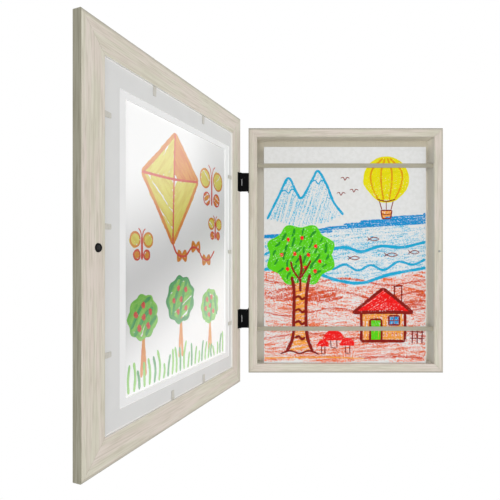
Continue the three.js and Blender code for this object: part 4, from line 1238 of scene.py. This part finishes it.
# fruit trees
fruit_trees = ((0.21, 0.1, 0.13, 0.019), (0.5, 0.115, 0.15, 0.023), (0.79, 0.1, 0.12, 0.018))
for number, (u, foot, rise, spread) in enumerate(fruit_trees):
    for lean in (-0.007, 0.007):
        bark = [(u + lean * 2, foot), (u + lean, foot + rise * 0.5), (u - lean * 0.6, foot + rise)]
        picture.line("orange", bark, 0.0042)
    heart = at(u, foot + rise + 0.055)
    crown = cloudy(heart, spread * 1.04, spread * 0.96, 9, 0.12)
    picture.hatch("leaf", crown, 65 - 40 * number, 0.0056, 0.0068)
    picture.hatch("green", crown, 40 + 30 * number, 0.0125, 0.0042)
    picture.loop("green" if number == 1 else "leaf", crown, 0.0042)
    for spot in ellipse(heart, spread * 0.62, spread * 0.6, 20 + 25 * number, 380, 5) + [heart]:
        picture.hatch("red", ellipse(spot, 0.0032, 0.0032, count=8), 35, 0.0019, 0.0028)

# grass
for i in range(26):
    u = 0.08 + i * 0.0345
    tip = picture.draw.uniform(0.11, 0.17)
    blade = [(u, 0.066), (u + picture.draw.uniform(-0.01, 0.01), (0.066 + tip) / 2),
             (u + picture.draw.uniform(-0.02, 0.02), tip)]
    picture.line("leaf" if i % 3 else "green", blade, 0.0034)

paints = {colour: watercolour(f"watercolour_{colour}", *look) for colour, look in PAINTS.items()}
turned_round = Matrix.Rotation(math.radians(180), 4, "Z")
glazed_face = door_place @ Matrix.Translation((0, sheet_low.y, 0)) @ stood_up
inner_face = door_place @ Matrix.Translation((0, sheet_high.y, 0)) @ turned_round @ stood_up
picture.lay("paint_glazed", paints, glazed_face, "door")
picture.lay("paint_inner", paints, inner_face, "door")


# Steel points
# Ten flat points of soft grey-beige steel stand out of the rabbet over the mat's edge. Each one bends up when
# the layers are changed.
POINT_TONE = (202, 199, 191)
POINT_DULL = (192, 189, 180)
POINT_RUB = 500.0
SCRATCH_STRETCH = (300.0, 300.0, 2200.0)
SCRATCH_DEPTH = 0.00002

point_steel, tree, shader = new_material("point_steel", {"Metallic": 0.1, "Specular IOR Level": 0.3})
finish = worn_finish(tree, POINT_TONE, POINT_DULL, POINT_RUB, 0.4, 0.7, detail=3.0)
scratch = noise(object_place(tree), SCRATCH_STRETCH)
drive(shader, {"Base Color": finish["Color"], "Roughness": ramp(scratch, 0.3, 0.7, 0.5, 0.7),
               "Normal": bumped(scratch, SCRATCH_DEPTH)})
coat([name for name in frame["nodes"] if "_point_" in name], point_steel)


# Magnet
# A small round magnet, pressed into a black moulded cup that is let into the free stile. It sits opposite the
# steel catch in the box's rim, and holds the door shut.
CUP_TONE = (16, 16, 17)
CUP_RUB = (34, 34, 35)
MAGNET_TONE = (26, 26, 27)
MAGNET_WORN = (58, 58, 60)
CUP_GRAIN = 900.0
MAGNET_GRAIN = 1200.0
CUP_STEPS = 48
DISC_STEPS = 40
LIP_SHARE = 1 / 3
RIM_ROUND_SHARE = 0.3
BORE_ROUND_SHARE = 0.4
BORE_TAPER_SHARE = 0.2
DISC_ROUND_SHARE = 0.5

cup_plastic, tree, shader = new_material("cup_plastic", {"Specular IOR Level": 0.15})
finish = worn_finish(tree, CUP_TONE, CUP_RUB, CUP_GRAIN, 0.55, 0.75)
drive(shader, {"Base Color": finish["Color"], "Roughness": ramp(finish["Patches"], 0.3, 0.7, 0.6, 0.75)})
magnet_face, tree, shader = new_material("magnet_face", {"Metallic": 0.1, "Specular IOR Level": 0.2})
finish = worn_finish(tree, MAGNET_TONE, MAGNET_WORN, MAGNET_GRAIN, 0.4, 0.75)
drive(shader, {"Base Color": finish["Color"], "Roughness": ramp(finish["Patches"], 0.3, 0.7, 0.55, 0.7)})

cup_low, cup_high = closed_box("magnet_cup")
disc_low, disc_high = closed_box("magnet_disc")
cup_radius = (cup_high.x - cup_low.x) / 2
disc_radius = (disc_high.x - disc_low.x) / 2
seat = front_centre(cup_low, cup_high, cup_low.y)
cup_top = cup_high.y - cup_low.y
bore_floor = disc_low.y - cup_low.y
lip = (cup_radius - disc_radius) * LIP_SHARE
cup_mesh = bmesh.new()
turn(cup_mesh, [
    (0, 0), (cup_radius, 0), (cup_radius, cup_top - lip),
    (cup_radius - lip * RIM_ROUND_SHARE, cup_top - lip * RIM_ROUND_SHARE),
    (cup_radius - lip, cup_top), (disc_radius + lip, cup_top),
    (disc_radius + lip * BORE_ROUND_SHARE, cup_top - lip * BORE_ROUND_SHARE),
    (disc_radius + lip * BORE_TAPER_SHARE, bore_floor), (0, bore_floor),
], seat, (0, 1, 0), CUP_STEPS)
bmesh.ops.transform(cup_mesh, matrix=door_place, verts=cup_mesh.verts)
cup = make_piece("magnet_cup_moulded", cup_mesh, cup_plastic, "door", 35)
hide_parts("magnet_cup")
disc_mesh = bmesh.new()
disc_top = disc_high.y - disc_low.y
disc_round = lip * DISC_ROUND_SHARE
turn(disc_mesh, [
    (0, 0), (disc_radius, 0), (disc_radius, disc_top - disc_round), (disc_radius - disc_round, disc_top),
    (0, disc_top),
], (seat.x, disc_low.y, seat.z), (0, 1, 0), DISC_STEPS)
bmesh.ops.transform(disc_mesh, matrix=door_place, verts=disc_mesh.verts)
disc = make_piece("magnet_disc_turned", disc_mesh, magnet_face, "door", 35)
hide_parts("magnet_disc")


# Hinges
# Two small butt hinges in black lacquered steel. Each door leaf is let in flush, each box leaf bridges the
# gap and turns back along the wall, and the screws are countersunk with a cross recess.
LACQUER = (6, 6, 7)
LACQUER_WORN = (24, 23, 22)
LACQUER_WEAR = 420.0
LACQUER_PEEL = even(1600.0)
PEEL_DEPTH = 0.00003
SCREW_STEPS = 32
SHANK_SHARE = 0.47
HEAD_RIM_SHARE = 0.06
CROSS_TURN = 20
CROSS_REACH_SHARE = 0.62
CROSS_WIDTH_SHARE = 0.2
CROSS_DEPTH_SHARE = 0.45

lacquer, tree, shader = new_material("black_lacquer", {"Specular IOR Level": 0.08})
finish = worn_finish(tree, LACQUER, LACQUER_WORN, LACQUER_WEAR, 0.6, 0.8, share=0.7, detail=5.0)
peel = noise(object_place(tree), LACQUER_PEEL, 2.0)
drive(shader, {"Base Color": finish["Color"], "Normal": bumped(peel, PEEL_DEPTH),
               "Roughness": ramp(finish["Patches"], 0.3, 0.7, 0.55, 0.7)})
hinge_pieces = ("hinge_door_leaf", "hinge_box_leaf", "hinge_pin")
coat([name for name in frame["nodes"] if name.endswith(hinge_pieces)], lacquer)


def cross_screw(head_radius, length, foot, axis):
    """A countersunk screw whose head lies level at foot, cut with a cross recess."""
    shank = head_radius * SHANK_SHARE
    bm = bmesh.new()
    profile = [(0, -length), (shank, shank - length), (shank, shank - head_radius),
               (head_radius, -head_radius * HEAD_RIM_SHARE), (head_radius, 0), (0, 0)]
    turn(bm, profile, foot, axis, SCREW_STEPS)
    cutter = bmesh.new()
    turn_to_axis = Vector((0, 0, 1)).rotation_difference(Vector(axis)).to_matrix().to_4x4()
    shares = (CROSS_REACH_SHARE, CROSS_WIDTH_SHARE, CROSS_DEPTH_SHARE)
    arm_size = Matrix.Diagonal((*[2 * head_radius * share for share in shares], 1))
    for quarter in (0, 90):
        arm_turn = Matrix.Rotation(math.radians(quarter + CROSS_TURN), 4, "Z")
        bmesh.ops.create_cube(cutter, size=1.0,
                              matrix=Matrix.Translation(foot) @ turn_to_axis @ arm_turn @ arm_size)
    blank = object_from("screw_blank", bm)
    cross = object_from("screw_cross", cutter)
    cut = blank.modifiers.new("cross", "BOOLEAN")
    cut.operation = "DIFFERENCE"
    cut.object = cross
    cut.solver = "EXACT"
    cut.use_self = True
    done = bpy.data.meshes.new_from_object(blank.evaluated_get(bpy.context.evaluated_depsgraph_get()))
    bpy.data.objects.remove(blank)
    bpy.data.objects.remove(cross)
    made = bmesh.new()
    made.from_mesh(done)
    return made


for node_name in sorted(name for name in frame["nodes"] if "leaf_screw" in name):
    on_door = "door_leaf" in node_name
    low, high = closed_box(node_name) if on_door else node_box(node_name)
    head_radius = (high.z - low.z) / 2
    if on_door:
        screw_mesh = cross_screw(head_radius, high.y - low.y, front_centre(low, high, high.y), (0, 1, 0))
        bmesh.ops.transform(screw_mesh, matrix=door_place, verts=screw_mesh.verts)
    else:
        foot = (low.x, (low.y + high.y) / 2, (low.z + high.z) / 2)
        screw_mesh = cross_screw(head_radius, high.x - low.x, foot, (-1, 0, 0))
    body = "door" if on_door else "box"
    screw = make_piece(node_name + "_cut", screw_mesh, lacquer, body, 30)
    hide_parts(node_name)
